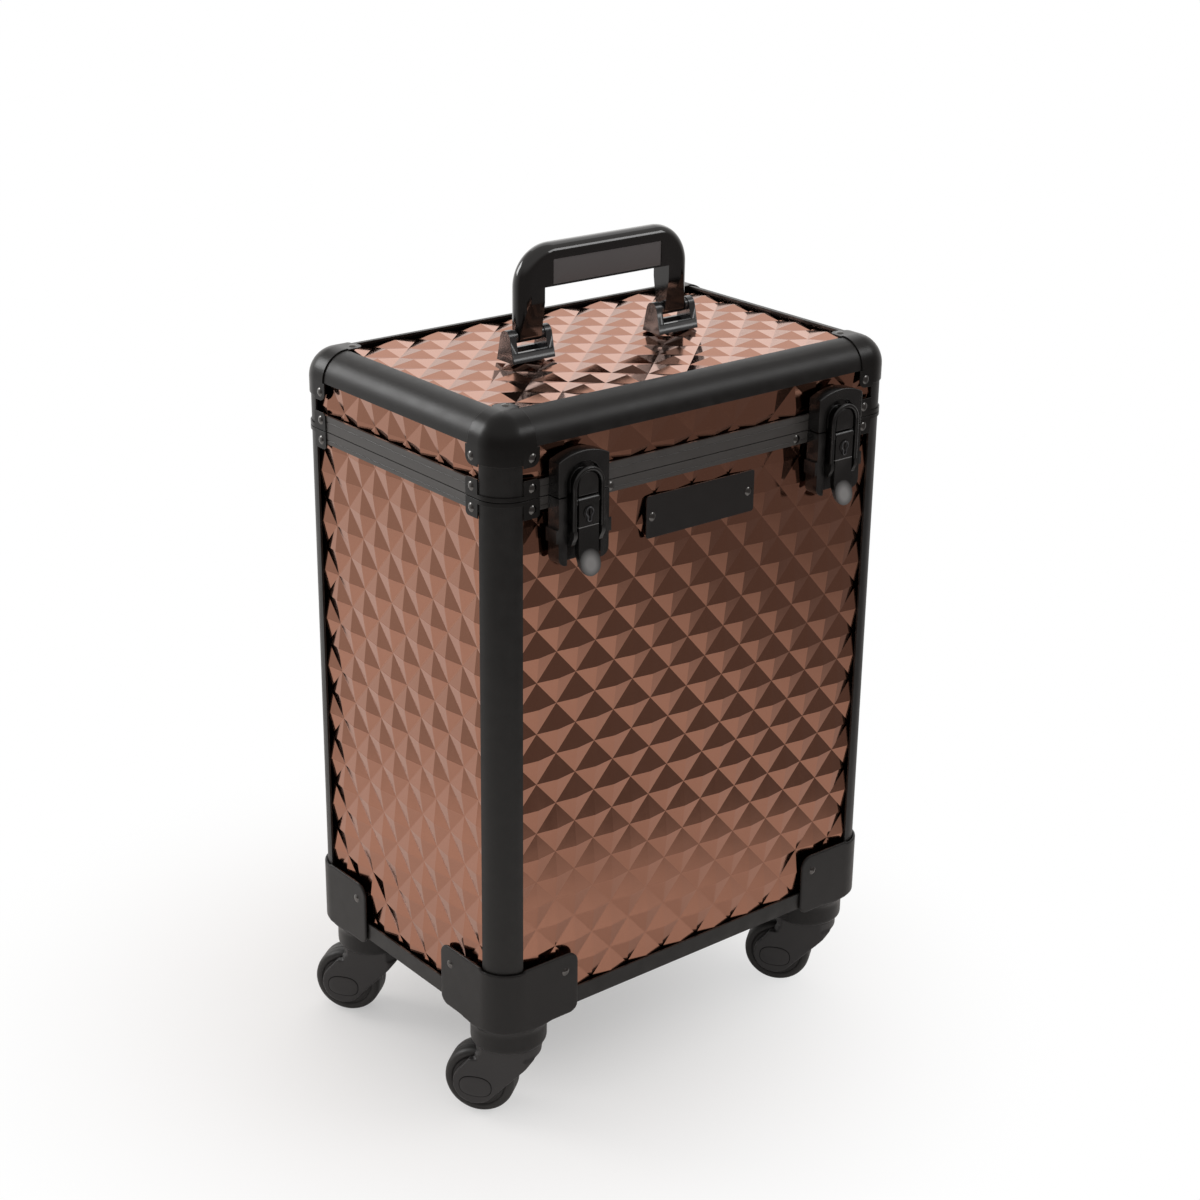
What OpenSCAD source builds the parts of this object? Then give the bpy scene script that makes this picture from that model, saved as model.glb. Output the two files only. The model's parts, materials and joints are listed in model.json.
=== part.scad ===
// Rolling hard case: aluminium-framed body and lid in embossed boards, two draw latches,
// a carry handle on the lid, a telescopic pull handle on the back and four swivel casters.
// Millimetres. Z is up, the wide front faces -Y, and the wheels stand on Z = 0.

/* [Case] */
// Outside width of the case
case_w = 340; // [320:5:420]
// Outside depth of the case
case_d = 223; // [200:1:280]
// Underside of the case above the floor
ground_gap = 85; // [84:1:100]
// Height of the body, from its underside to the parting line
body_h = 373.3; // [350:0.1:450]
// Height of the lid, from the parting line to the top rails
lid_h = 52.7; // [51:0.1:80]

/* [Frame] */
// Outside radius of the corner posts and of the lid's edge rails
rail_r = 19.5; // [18:0.5:22]
// Wall of the aluminium extrusions
rail_t = 1.6; // [1.2:0.1:2]
// Thickness of the flanges and webs inside the extrusions
flange_t = 1.2; // [0.8:0.1:1.6]
// Depth that a board is held in a slot
slot_depth = 5.5; // [4:0.5:6]
// Height of the bottom rails
base_rail_h = 12.5; // [10:0.5:16]
// Inward reach of the bottom rails under the floor
base_rail_w = 20; // [16:1:26]
// Height of the rim band on the body
body_rim_h = 8.5; // [7:0.5:12]
// Height of the rim band on the lid
lid_rim_h = 11.2; // [9:0.1:14]
// Height of the tongue that locates the lid
tongue_h = 1.7; // [1:0.1:2]
// Thickness of the tongue
tongue_t = 1.4; // [1:0.1:1.6]

/* [Boards] */
// Thickness of the boards
board_t = 4; // [3.5:0.5:5]
// Thickness of the lining
lining_t = 1.6; // [1:0.1:2.5]
// Width of one embossed diamond
diamond_w = 32; // [24:1:40]
// Height of one embossed diamond
diamond_h = 36; // [28:1:44]
// Height of the embossed pyramids
emboss_h = 2.4; // [1.5:0.1:3]

/* [Corner fittings] */
// Thickness of the pressed corner fittings
fitting_t = 0.9; // [0.6:0.1:1.5]
// Reach of the lid's ball corners from the case corner
cap_reach = 32; // [30:0.5:36]
// Distance of the ball corner's rivets from the case corner
cap_rivet = 26.3; // [25:0.1:28]
// Reach of the rim brackets from the case corner
bracket_reach = 32; // [30:0.5:36]
// Height of a rim bracket's tab
bracket_h = 12.8; // [11:0.1:16]
// Height of the band of a rim bracket round the post
bracket_band = 2.8; // [2:0.1:5]
// Radius of a rivet's shank
rivet_r = 1.6; // [1.2:0.1:2]
// Radius of a rivet's domed head
rivet_head_r = 3; // [2.5:0.1:3.5]
// Height of a rivet's domed head
rivet_head_h = 1.1; // [0.8:0.1:1.5]

/* [Casters] */
// Radius of the wheels
wheel_r = 25; // [22:0.5:25]
// Width of the wheels
wheel_w = 22.6; // [18:0.1:24]
// Trail of the wheel behind the swivel
caster_trail = 19; // [14:0.5:20]
// Direction in which the wheels trail
trail_angle = 126.6; // [0:0.1:360]
// Distance of the swivel from the two outer faces
swivel_in = 28.5; // [27:0.5:34]
// Radius of the axle
axle_r = 2.5; // [2:0.1:3.5]
// Radius of the kingpin
kingpin_r = 4; // [3:0.1:5]
// Radius of the housing's collar
collar_r = 26.4; // [24:0.1:28]
// Height of the joint between housing and fork
swivel_z = 58.6; // [57:0.1:60]
// Radius of the fork's top
fork_r = 23; // [21:0.5:24]
// Thickness of one cheek of the fork
cheek_t = 5.6; // [4:0.1:7]
// Radius of the cheek round the axle
cheek_r = 15.5; // [14:0.5:17]
// Wall of the caster housing round the case
housing_t = 2.2; // [1.8:0.1:3]
// Reach of the housing's wings from the corner
wing_reach = 65; // [58:1:74]
// Top of the wings above the underside of the case
wing_h = 42.5; // [36:0.5:52]
// Distance of the wing's screw from the corner
wing_screw = 54; // [48:0.5:58]
// Height of the wing's screw above the underside of the case
wing_screw_h = 29.3; // [26:0.1:34]

/* [Latches] */
// Gap between a latch and the rim bracket beside it
latch_gap = 7; // [4.5:0.5:20]
// Width of a latch
latch_w = 40; // [36:0.5:46]
// Depth of the latch's base and keeper
latch_d = 11; // [9.5:0.5:13]
// Height of the keeper above the parting line
keeper_h = 28; // [26:0.5:30]
// Height of the keeper's boss above the parting line
boss_h = 15.5; // [14:0.5:18]
// Length of the latch's base below the parting line
latch_base_h = 45; // [42:0.5:52]
// Width of the lever and of the keeper's boss
lever_w = 16; // [14:0.5:18]
// Length of the lever to the end of its finger tab
lever_h = 52; // [49:0.5:56]
// Radius of the bail's wire
wire_r = 1.5; // [1.2:0.1:1.6]
// Height of the bail's pivot below the lever's pivot
bail_drop = 26; // [24:0.5:28]
// Radius of the lever's hub
lever_hub_r = 3.4; // [3:0.1:3.6]
// Radius of the lever's pin
lever_pin_r = 1.5; // [1:0.1:1.8]
// Radius of the lock plug
plug_r = 4.4; // [3.5:0.1:4.8]
// Distance of the lock below the parting line
lock_drop = 11; // [11:0.5:13]

/* [Name plate] */
// Width of the bare name plate
plate_w = 94; // [70:1:110]
// Height of the bare name plate
plate_h = 29; // [20:1:34]
// Thickness of the bare name plate
plate_t = 0.8; // [0.5:0.1:1.5]

/* [Carry handle] */
// Outside width of the carry handle
handle_w = 145; // [138:1:160]
// Height of the carry handle above the lid's top
handle_h = 74; // [66:1:84]
// Thickness of the carry handle
handle_d = 16; // [14:0.5:17]
// Thickness of the grip bar, top to bottom
grip_h = 28; // [24:0.5:32]
// Outside corner radius of the carry handle
handle_r = 28; // [25:0.5:30]
// Width of a leg of the carry handle
foot_w = 19; // [16:0.5:20]
// Width of the matte inserts in the grip bar
insert_w = 93; // [80:1:96]
// Height of the matte inserts
insert_h = 17; // [12:0.5:17]
// Radius of the carry handle's pins
handle_pin_r = 2; // [1.5:0.1:2.5]
// Height of the carry handle's pins above the lid's top
handle_pin_h = 14.5; // [13.5:0.5:16]
// Width of a handle bracket
bracket_w = 35; // [33:0.5:38]
// Depth of a handle bracket
bracket_d = 18; // [17:0.5:22]
// Height of the low walls of a handle bracket
bracket_wall_h = 6.5; // [4:0.5:7]

/* [Pull handle] */
// Distance between the two legs of the pull handle
tube_span = 160; // [140:1:180]
// Width of an outer tube
tube_w = 24; // [22:0.5:28]
// Depth of an outer tube
tube_d = 16; // [15:0.5:20]
// Wall of the tubes
tube_t = 1.2; // [1:0.1:1.5]
// Height of the pull handle's top below the parting line
grip_drop = 14; // [13:1:30]
// Height of the grip bar
pull_grip_h = 22; // [18:1:26]
// Height of the upper housing round the tubes
tube_head_h = 34; // [28:1:40]
// Height of the lower housing round the tubes
tube_foot_h = 30; // [26:1:36]
// Height of the finger gap under the grip bar
finger_gap = 21; // [20:1:30]
// Travel of each telescopic stage
stage_travel = 260; // [200:5:280]
// Travel of the release button
button_travel = 3; // [2:0.5:4]
// Width of the release button
button_w = 26; // [20:1:34]
// Depth of the release button, front to back
button_d = 9; // [7:0.5:11]
// Height of the release button
button_h = 9; // [7:0.5:10]
// Length of the release button's spring
spring_h = 8; // [7:0.5:9]

/* [Hinges] */
// Gap between a hinge and the rim bracket beside it
hinge_gap = 2; // [1:0.5:12]
// Width of a hinge
hinge_w = 36; // [30:1:40]
// Height of a hinge leaf
hinge_leaf_h = 14; // [12:0.5:16]
// Radius of the hinge's barrel
barrel_r = 2.9; // [2.6:0.1:3.2]
// Radius of the hinge's pin
hinge_pin_r = 1.5; // [1:0.1:1.8]

/* [Hidden] */
$fn = 64;
fit = 0.1;         // gap between pieces that are fixed to each other
play = 0.3;        // gap between pieces that move past each other
run = 0.05;        // radial clearance of a pin in a turning bore
over = 0.01;       // how far a cut runs past a face

parting_z = ground_gap + body_h;
top_z = parting_z + lid_h;
half_w = case_w / 2;
half_d = case_d / 2;

board_in = rail_t + emboss_h;            // outer face of a board behind the case's outer face
board_back = board_in + board_t;
flange_in = board_back + fit;            // outer face of the flange behind a board
flange_out = flange_in + flange_t;
board_inset = rail_r - slot_depth;       // edge of a board from the case's corner
web_out = board_inset - fit;
web_in = web_out - flange_t;
lining_in = flange_out + play;           // outer face of the body's lining
// corner radius of the body's lining, which clears the webs of the posts
lining_r = (play + sqrt(2) * (web_out - lining_in)) / (sqrt(2) - 1);
lid_lining_in = web_out + 0.5;           // outer face of the lid's lining
rail_end = rail_r + fit / 2;             // where the straight extrusions start

floor_low = ground_gap + rail_t + fit;
floor_top = floor_low + board_t;
body_board_top = parting_z - play - rail_t - play;
tongue_in = board_in + (board_t - tongue_t) / 2;
groove_out = tongue_in - 0.4;
groove_in = tongue_in + tongue_t + 0.9;
groove_top = play + tongue_h + 0.6;
lid_board_low = parting_z + groove_top + flange_t + fit;

body_window = [rail_r + fit, ground_gap + base_rail_h + fit, parting_z - body_rim_h - fit];
lid_window = [parting_z + lid_rim_h + fit, top_z - rail_r - fit];

shell_in = rail_r + fit / 2;             // inner radius of the pressed corner fittings
shell_out = shell_in + fitting_t;
tab_low = -fit / 2 - fitting_t;          // outer face of their tabs
rim_rivet_h = 7;                         // rivets above and below the parting line
latch_span = case_w - 2 * (bracket_reach + latch_gap) - latch_w;
rim_rivet_x = (latch_span - latch_w) / 2 - 10;   // rivets of the rim beside the latches
rim_shank = board_in + fitting_t - fit;
cap_shank = rail_t + fitting_t - fit;    // stops short of the embossed diamonds

plate_x = -3;
plate_z = parting_z - 33;

leaf_t = fitting_t + 0.3;
knuckle_w = hinge_w / 3;

fork_top = swivel_z - 0.4;
kingpin_low = fork_top - 9;
bearing_r = 14;
bearing_h = 5;
wing_screw_z = ground_gap + wing_screw_h;
fork_gap = wheel_w / 2 + 0.7;
cheek_out = fork_gap + cheek_t;
axle_half = cheek_out - 2;
cap_t = 0.7;                             // height of the oval caps on the cheeks

housing_low = ground_gap - 4.5;          // underside of the wings and of the pad

lever_pivot_z = parting_z - play - lever_hub_r;
lever_front = latch_d + 4.8;
lever_pivot_o = lever_front - lever_hub_r;
bail_z = lever_pivot_z - bail_drop;
bail_half = lever_w / 2 + 1.6 + wire_r;  // centre line of the bail's legs
boss_top = parting_z + boss_h;
boss_centre_z = boss_top - lever_w / 2;
plug_z = parting_z - lock_drop;
tab_out = lever_front + 4;
tab_gap = 0.1;                           // back of a latch off the rim bands
pocket_d = 4;                            // depth of the recess round the keeper's boss
ear_t = 1;
ear_r = lever_hub_r - 0.4;
plug_t = 1.5;                            // depth of the lock plug's seat in the lever
lock_stem_r = 2.4;
lock_tail_t = 1.5;
lock_tail_o = lever_front - 4 - play - lock_tail_t;
bail_pivot_o = lever_front - 3.5;
bail_o = lever_front - 0.6;              // the bail stands nearly level with the lever's front
bail_arch_z = boss_top + play + wire_r - bail_half;   // centre of the bail's arch
channel_w = 2 * (bail_half + wire_r + 0.8);

foot_span = handle_w - foot_w;
insert_t = 0.6;
insert_z = top_z + handle_h - grip_h + 1 + insert_h / 2;
handle_pin_z = top_z + handle_pin_h;
handle_low = handle_pin_z - 4.6;
seat_z = top_z - rail_t + fit;           // just over the tops of the lid's pyramids
bracket_t = 5.2;                         // cheek of a handle bracket

hinge_y = half_d + leaf_t + play + barrel_r;
hinge_span = case_w - 2 * (bracket_reach + hinge_gap) - hinge_w;

tube_y = half_d + 2.5 + tube_d / 2;
mid_w = tube_w - 2 * tube_t - 2 * play;
mid_d = tube_d - 2 * tube_t - 2 * play;
inner_w = mid_w - 2 * tube_t - 2 * play;
inner_d = mid_d - 2 * tube_t - 2 * play;
grip_top = parting_z - grip_drop;
grip_low = grip_top - pull_grip_h;
tube_top = grip_low - finger_gap;
tube_low = ground_gap + 12;
button_low = grip_top + button_travel + play - button_h;
spring_low = button_low - spring_h;      // bottom of the button's pocket
spring_r = 2.5;
spring_wire_r = 0.25;
pull_back = tube_y + tube_d / 2 + 3;     // rear face of the grip and its housings

// the case stands with the middle of its outline over the origin
axle_dir = [cos(trail_angle + 90), sin(trail_angle + 90)];
trail_dir = [cos(trail_angle), sin(trail_angle)];
side_reach = half_w + fit + housing_t + rivet_head_h;
wheel_reach = half_w - swivel_in + abs(trail_dir[0]) * (caster_trail + 1 + cheek_r)
    + abs(axle_dir[0]) * cheek_out;
centre_x = (side_reach - max(side_reach, wheel_reach)) / 2;
centre_y = (pull_back - half_d - tab_out) / 2;

black_metal = "#3c3836";
black_plastic = "#2e2c2b";
gloss_black = "#1d1b1b";
copper_film = "#8a5a48";
steel = "#b9b7b3";
cloth = "#4a4443";

// Placement

module in_frame() {
    translate([-centre_x, -centre_y, 0]) children();
}

// children are drawn with the case's corner at X = Y = 0 and the case towards +X +Y
module at_corner(side_x, side_y) {
    translate([side_x * half_w, side_y * half_d, 0])
        mirror([side_x > 0 ? 1 : 0, 0, 0])
            mirror([0, side_y > 0 ? 1 : 0, 0])
                children();
}

module at_corners() {
    for (side_x = [-1, 1])
        for (side_y = [-1, 1])
            at_corner(side_x, side_y) children();
}

// both ways round a corner: as drawn, and with X and Y swapped
module both_faces() {
    children();
    mirror([1, -1, 0]) children();
}

// children are drawn with the front face at Y = 0 and +Y pointing out of it
module on_front(x) {
    translate([x, -half_d, 0]) mirror([0, 1, 0]) children();
}

// children are drawn with the back face at Y = 0 and +Y pointing out of it
module on_back(x) {
    translate([x, half_d, 0]) children();
}

module at_latches() {
    for (side = [-1, 1])
        on_front(side * latch_span / 2) children();
}

// stands a flat outline up, from Y = low to Y = high
module upright(low, high) {
    translate([0, high, 0])
        rotate([90, 0, 0])
            linear_extrude(high - low) children();
}

// lays a side outline along X, from X = low to X = high: outline X becomes Y, outline Y becomes Z
module sideways(low, high) {
    translate([low, 0, 0])
        rotate([90, 0, 90])
            linear_extrude(high - low) children();
}

// Outlines

module box_outline(low, high) {
    translate(low) square([high[0] - low[0], high[1] - low[1]]);
}

module rounded_outline(w, h, r) {
    for (x = [-1, 1])
        for (y = [-1, 1])
            translate([x * (w / 2 - r), y * (h / 2 - r)]) circle(r);
    square([w - 2 * r, h], center = true);
    square([w, h - 2 * r], center = true);
}

// a plate from [0, 0] to [w, h] whose corner at [w, h] is round
module one_round_corner(w, h, r) {
    box_outline([0, 0], [w - r, h]);
    box_outline([0, 0], [w, h - r]);
    translate([w - r, h - r]) circle(r);
}

module quarter_ring(outer, inner, centre) {
    intersection() {
        translate([centre, centre])
            difference() {
                circle(outer);
                circle(inner);
            }
        box_outline([centre - outer - 1, centre - outer - 1], [centre, centre]);
    }
}

// extrusion that turns a corner and holds a board on each side of it
module corner_profile() {
    quarter_ring(rail_r, rail_r - rail_t, rail_r);
    intersection() {
        union() {
            box_outline([web_in, 0], [web_out, flange_out]);
            box_outline([0, web_in], [flange_out, web_out]);
        }
        translate([rail_r, rail_r]) circle(rail_r - rail_t / 2);
    }
    box_outline([web_in, flange_in], [rail_r, flange_out]);
    box_outline([flange_in, web_in], [flange_out, rail_r]);
    box_outline([flange_in, flange_in], [web_out, web_out]);
}

module base_rail_profile() {
    box_outline([0, 0], [rail_t, base_rail_h]);
    box_outline([0, 0], [base_rail_w, rail_t]);
    box_outline([flange_in, 0], [flange_out, base_rail_h]);
}

// drawn with the parting line at Y = 0
module body_rim_profile() {
    rim_top = -play;
    difference() {
        box_outline([0, -body_rim_h], [rail_t, rim_top]);
        translate([0, rim_top - body_rim_h * 0.62]) circle(0.4);
    }
    box_outline([0, rim_top - rail_t], [lining_in + lining_t, rim_top]);
    box_outline([flange_in, -body_rim_h - 3], [flange_out, rim_top]);
    box_outline([tongue_in, rim_top - rail_t], [tongue_in + tongue_t, tongue_h]);
}

module lid_rim_profile() {
    rim_low = play;
    difference() {
        box_outline([0, rim_low], [rail_t, lid_rim_h]);
        translate([0, lid_rim_h * 0.62]) circle(0.4);
    }
    box_outline([0, rim_low], [groove_out, rim_low + rail_t]);
    box_outline([groove_in, rim_low], [lid_lining_in + lining_t, rim_low + rail_t]);
    box_outline([groove_out - flange_t, rim_low], [groove_out, groove_top + flange_t]);
    box_outline([groove_in, rim_low], [groove_in + flange_t, groove_top + flange_t]);
    box_outline([groove_out - flange_t, groove_top], [groove_in + flange_t, groove_top + flange_t]);
    box_outline([flange_in, rim_low], [flange_out, lid_rim_h + 3]);
}

// sweeps a profile, drawn as inward and up, along all four sides at height z
module along_sides(z) {
    for (turn = [0, 1])
        mirror([0, turn, 0])
            translate([-half_w + rail_end, -half_d, z])
                rotate([90, 0, 90])
                    linear_extrude(case_w - 2 * rail_end) children();
    for (turn = [0, 1])
        mirror([turn, 0, 0])
            translate([-half_w, half_d - rail_end, z])
                rotate([90, 0, 0])
                    linear_extrude(case_d - 2 * rail_end) children();
}

// Embossed boards

// cuts a flat outline of points at one value of X (k = 0) or Y (k = 1);
// keep is 1 to keep what lies above the limit, -1 for what lies below it
function cut(outline, k, limit, keep) = [
    for (i = [0 : 1 : len(outline) - 1])
        let (
            p = outline[i],
            q = outline[(i + 1) % len(outline)],
            dp = keep * (p[k] - limit),
            dq = keep * (q[k] - limit)
        )
        each concat(
            dp >= 0 ? [p] : [],
            dp > 0 && dq < 0 || dp < 0 && dq > 0 ? [p + (q - p) * dp / (dp - dq)] : []
        )
];

function cut_to_window(outline, low, high) =
    cut(cut(cut(cut(outline, 0, low[0], 1), 0, high[0], -1), 1, low[1], 1), 1, high[1], -1);

// facets of pyramids on diamond bases over a window; half is half a diamond and start a
// point where two rows of diamonds meet
function pyramid_facets(low, high, start, half) = [
    for (i = [floor((low[0] - start[0]) / half[0]) : floor((high[0] - start[0]) / half[0])],
         j = [floor((low[1] - start[1]) / half[1]) : floor((high[1] - start[1]) / half[1])])
        let (
            flat = (i + j) % 2 == 0,
            corner = function (di, dj) [
                start[0] + (i + di) * half[0],
                start[1] + (j + dj) * half[1],
                (i + j + di + dj) % 2 == 0 ? over : emboss_h
            ],
            a = corner(0, 0),
            b = corner(1, 0),
            c = corner(1, 1),
            d = corner(0, 1)
        )
        for (facet = flat ? [[a, c, b], [a, d, c]] : [[a, d, b], [b, d, c]])
            let (shown = cut_to_window(facet, low, high))
            if (len(shown) > 2) shown
];

function floor_point(p) = [p[0], p[1], 0];

function on_line(p, k, limit) = abs(p[k] - limit) < over / 10;

function box_corners(low, high, z) = [
    [low[0], high[1], z], [high[0], high[1], z], [high[0], low[1], z], [low[0], low[1], z]
];

// a board lying on XY with its outer face up, from low to high; the embossed window lies
// between window_low and window_high
module embossed_board(low, high, window_low, window_high, start, half) {
    facets = pyramid_facets(window_low, window_high, start, half);
    rim = box_corners(low, high, 0);
    back = box_corners(low, high, -board_t);
    window = box_corners(window_low, window_high, 0);
    sides = [[1, window_high[1]], [0, window_high[0]], [1, window_low[1]], [0, window_low[0]]];
    walls = [
        for (facet = facets, s = [0 : 3], i = [0 : len(facet) - 1])
            let (p = facet[i], q = facet[(i + 1) % len(facet)])
            if (on_line(p, sides[s][0], sides[s][1]) && on_line(q, sides[s][0], sides[s][1]))
                each [
                    [q, p, floor_point(p), floor_point(q)],
                    [floor_point(q), floor_point(p), rim[s]]
                ]
    ];
    frame = [
        for (s = [0 : 3])
            let (n = (s + 1) % 4)
            each [[window[n], rim[s], rim[n]], [rim[n], rim[s], back[s], back[n]]]
    ];
    pieces = concat(facets, walls, frame, [[for (s = [3 : -1 : 0]) back[s]]]);
    starts = [for (k = 0, n = 0; k < len(pieces); n = n + len(pieces[k]), k = k + 1) n];
    polyhedron(
        [for (piece = pieces) each piece],
        [for (k = [0 : len(pieces) - 1]) [for (i = [0 : len(pieces[k]) - 1]) starts[k] + i]]
    );
}

// turns a flat board so that it faces out of the front or back, or out of a side
module facing_y(side) {
    translate([0, side * (half_d - board_in), 0])
        mirror([0, side > 0 ? 1 : 0, 0])
            rotate([90, 0, 0]) children();
}

module facing_x(side) {
    translate([side * (half_w - board_in), 0, 0])
        mirror([side < 0 ? 1 : 0, 0, 0])
            rotate([90, 0, 90]) children();
}

module body_face_board(half, start) {
    embossed_board([-half + board_inset, floor_low], [half - board_inset, body_board_top],
        [-half + body_window[0], body_window[1]], [half - body_window[0], body_window[2]],
        start, [diamond_w / 2, diamond_h / 2]);
}

module lid_face_board(half, start) {
    embossed_board([-half + board_inset, lid_board_low], [half - board_inset, top_z - board_inset],
        [-half + body_window[0], lid_window[0]], [half - body_window[0], lid_window[1]],
        start, [diamond_h / 2, diamond_w / 2]);
}

module front_board() {
    color(copper_film) in_frame() facing_y(-1) body_face_board(half_w, [7.4, parting_z - 73.1]);
}

module back_board() {
    color(copper_film) in_frame() facing_y(1) body_face_board(half_w, [7.4, parting_z - 73.1]);
}

module left_board() {
    color(copper_film) in_frame() facing_x(-1) body_face_board(half_d, [12.3, parting_z - 30.8]);
}

module right_board() {
    color(copper_film) in_frame() facing_x(1) body_face_board(half_d, [12.3, parting_z - 30.8]);
}

module lid_side_boards() {
    color(copper_film) in_frame() {
        for (side = [-1, 1])
            facing_y(side) lid_face_board(half_w, [-9.1, parting_z + 16.2]);
        for (side = [-1, 1])
            facing_x(side) lid_face_board(half_d, [-9.1, parting_z + 16.2]);
    }
}

module lid_board() {
    color(copper_film) in_frame()
        translate([0, 0, top_z - board_in])
            embossed_board([-half_w + board_inset, -half_d + board_inset],
                [half_w - board_inset, half_d - board_inset],
                [-half_w + rail_r + fit, -half_d + rail_r + fit],
                [half_w - rail_r - fit, half_d - rail_r - fit],
                [-half_w + 27, 9], [diamond_h / 2, diamond_w / 2]);
}

module floor_board() {
    color(cloth) in_frame()
        translate([0, 0, floor_low])
            linear_extrude(board_t)
                rounded_outline(case_w - 2 * lining_in, case_d - 2 * lining_in, lining_r);
}

// Extrusions

module corner_posts() {
    color(black_metal) in_frame()
        at_corners()
            translate([0, 0, ground_gap])
                linear_extrude(parting_z - play - ground_gap) corner_profile();
}

module lid_posts() {
    color(black_metal) in_frame()
        at_corners()
            translate([0, 0, parting_z + play])
                linear_extrude(lid_h - play - rail_r) corner_profile();
}

module lid_rails() {
    color(black_metal) in_frame()
        along_sides(top_z) mirror([0, 1, 0]) corner_profile();
}

module bottom_rails() {
    color(black_metal) in_frame() along_sides(ground_gap) base_rail_profile();
}

module body_rim() {
    color(black_metal) in_frame()
        difference() {
            along_sides(parting_z) body_rim_profile();
            body_rim_holes();
        }
}

module lid_rim() {
    color(black_metal) in_frame()
        difference() {
            along_sides(parting_z) lid_rim_profile();
            lid_rim_holes();
        }
}

module body_lining() {
    color(cloth) in_frame()
        difference() {
            translate([0, 0, floor_top + fit])
                linear_extrude(parting_z - play - rail_t - fit - floor_top - fit)
                    rounded_outline(case_w - 2 * lining_in, case_d - 2 * lining_in, lining_r);
            translate([0, 0, floor_top + fit + lining_t])
                linear_extrude(body_h)
                    rounded_outline(case_w - 2 * (lining_in + lining_t),
                        case_d - 2 * (lining_in + lining_t), lining_r - lining_t);
        }
}

module lid_lining() {
    low = parting_z + play + rail_t + fit;
    high = top_z - flange_out - play;
    inset = lid_lining_in;
    color(cloth) in_frame()
        difference() {
            translate([0, 0, low])
                linear_extrude(high - low)
                    rounded_outline(case_w - 2 * inset, case_d - 2 * inset, rail_r / 2);
            translate([0, 0, low - 1])
                linear_extrude(high - low - lining_t + 1)
                    rounded_outline(case_w - 2 * (inset + lining_t),
                        case_d - 2 * (inset + lining_t), rail_r / 2 - lining_t);
        }
}

// Pressed corner fittings

// ball corner, drawn with the lid's corner at the origin and the lid towards +X +Y +Z
module ball_corner() {
    translate([rail_r, rail_r, rail_r])
        mirror([0, 0, 1]) rotate(180)
            rotate_extrude(angle = 90)
                intersection() {
                    difference() {
                        circle(shell_out);
                        circle(shell_in);
                    }
                    square(shell_out + 1);
                }
    for (turn = [0 : 2])
        rotate(turn * 120, [1, 1, 1]) {
            translate([0, 0, rail_r])
                linear_extrude(cap_reach - 2 - rail_r)
                    quarter_ring(shell_out, shell_in, rail_r);
            difference() {
                translate([rail_r, rail_r, tab_low])
                    linear_extrude(fitting_t)
                        one_round_corner(cap_reach - rail_r, cap_reach - rail_r, 6);
                translate([cap_rivet, cap_rivet, tab_low - 1]) cylinder(r = rivet_r, h = 3);
            }
        }
}

module lid_ball_corners() {
    color(black_metal) in_frame()
        at_corners()
            translate([0, 0, top_z]) mirror([0, 0, 1]) ball_corner();
}

// rim bracket, drawn with the parting line at Z = 0 and its tabs upwards
module rim_bracket() {
    translate([0, 0, play])
        linear_extrude(bracket_band) quarter_ring(shell_out, shell_in, rail_r);
    both_faces()
        difference() {
            translate([rail_r, tab_low + fitting_t, play])
                rotate([90, 0, 0])
                    linear_extrude(fitting_t) {
                        one_round_corner(bracket_reach - rail_r, bracket_h - play, 3);
                    }
            translate([cap_rivet, 0, rim_rivet_h])
                rotate([90, 0, 0]) cylinder(r = rivet_r, h = 4, center = true);
        }
}

module lid_rim_brackets() {
    color(black_metal) in_frame()
        at_corners()
            translate([0, 0, parting_z]) rim_bracket();
}

module body_rim_brackets() {
    color(black_metal) in_frame()
        at_corners()
            translate([0, 0, parting_z]) mirror([0, 0, 1]) rim_bracket();
}

// Rivets

// head outwards along +Z from Z = 0, shank down to -depth
module rivet(depth) {
    bulge_r = (rivet_head_r * rivet_head_r + rivet_head_h * rivet_head_h) / (2 * rivet_head_h);
    intersection() {
        translate([0, 0, rivet_head_h - bulge_r]) sphere(bulge_r);
        cylinder(r = rivet_head_r + 1, h = rivet_head_h + 1);
    }
    translate([0, 0, -depth]) cylinder(r = rivet_r - 0.02, h = depth);
}

// rivet through the face Y = 0 of a corner drawing, standing on a fitting
module face_rivet(x, z, depth) {
    translate([x, tab_low, z]) rotate([90, 0, 0]) rivet(depth);
}

module rim_hole(x, z) {
    translate([x, -1, z]) rotate([-90, 0, 0]) cylinder(r = rivet_r, h = board_in + 0.5);
}

module body_rim_holes() {
    at_corners() both_faces() rim_hole(cap_rivet, parting_z - rim_rivet_h);
    at_corners() rim_hole(half_w - rim_rivet_x, parting_z - body_rim_h / 2 - play);
}

module lid_rim_holes() {
    at_corners() both_faces() rim_hole(cap_rivet, parting_z + rim_rivet_h);
}

module body_rivets() {
    color(steel) in_frame() {
        at_corners()
            both_faces() {
                face_rivet(cap_rivet, parting_z - rim_rivet_h, rim_shank);
                translate([wing_screw, -housing_t - fit, wing_screw_z])
                    rotate([90, 0, 0]) rivet(housing_t + rail_t);
            }
        for (side = [-1, 1])
            on_front(side * rim_rivet_x)
                translate([0, 0, parting_z - body_rim_h / 2 - play])
                    rotate([-90, 0, 0]) rivet(board_in - fit);
        for (side = [-1, 1])
            on_front(plate_x + side * (plate_w / 2 - 5))
                translate([0, fit + plate_t - rail_t, plate_z]) rotate([-90, 0, 0]) rivet(plate_t);
        for (side = [-1, 1])
            for (end = [-1, 1])
                on_back(side * hinge_span / 2 + end * hinge_w / 3)
                    translate([0, leaf_t, parting_z - hinge_leaf_h * 0.68])
                        rotate([-90, 0, 0]) rivet(leaf_t - 0.1);
    }
}

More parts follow.
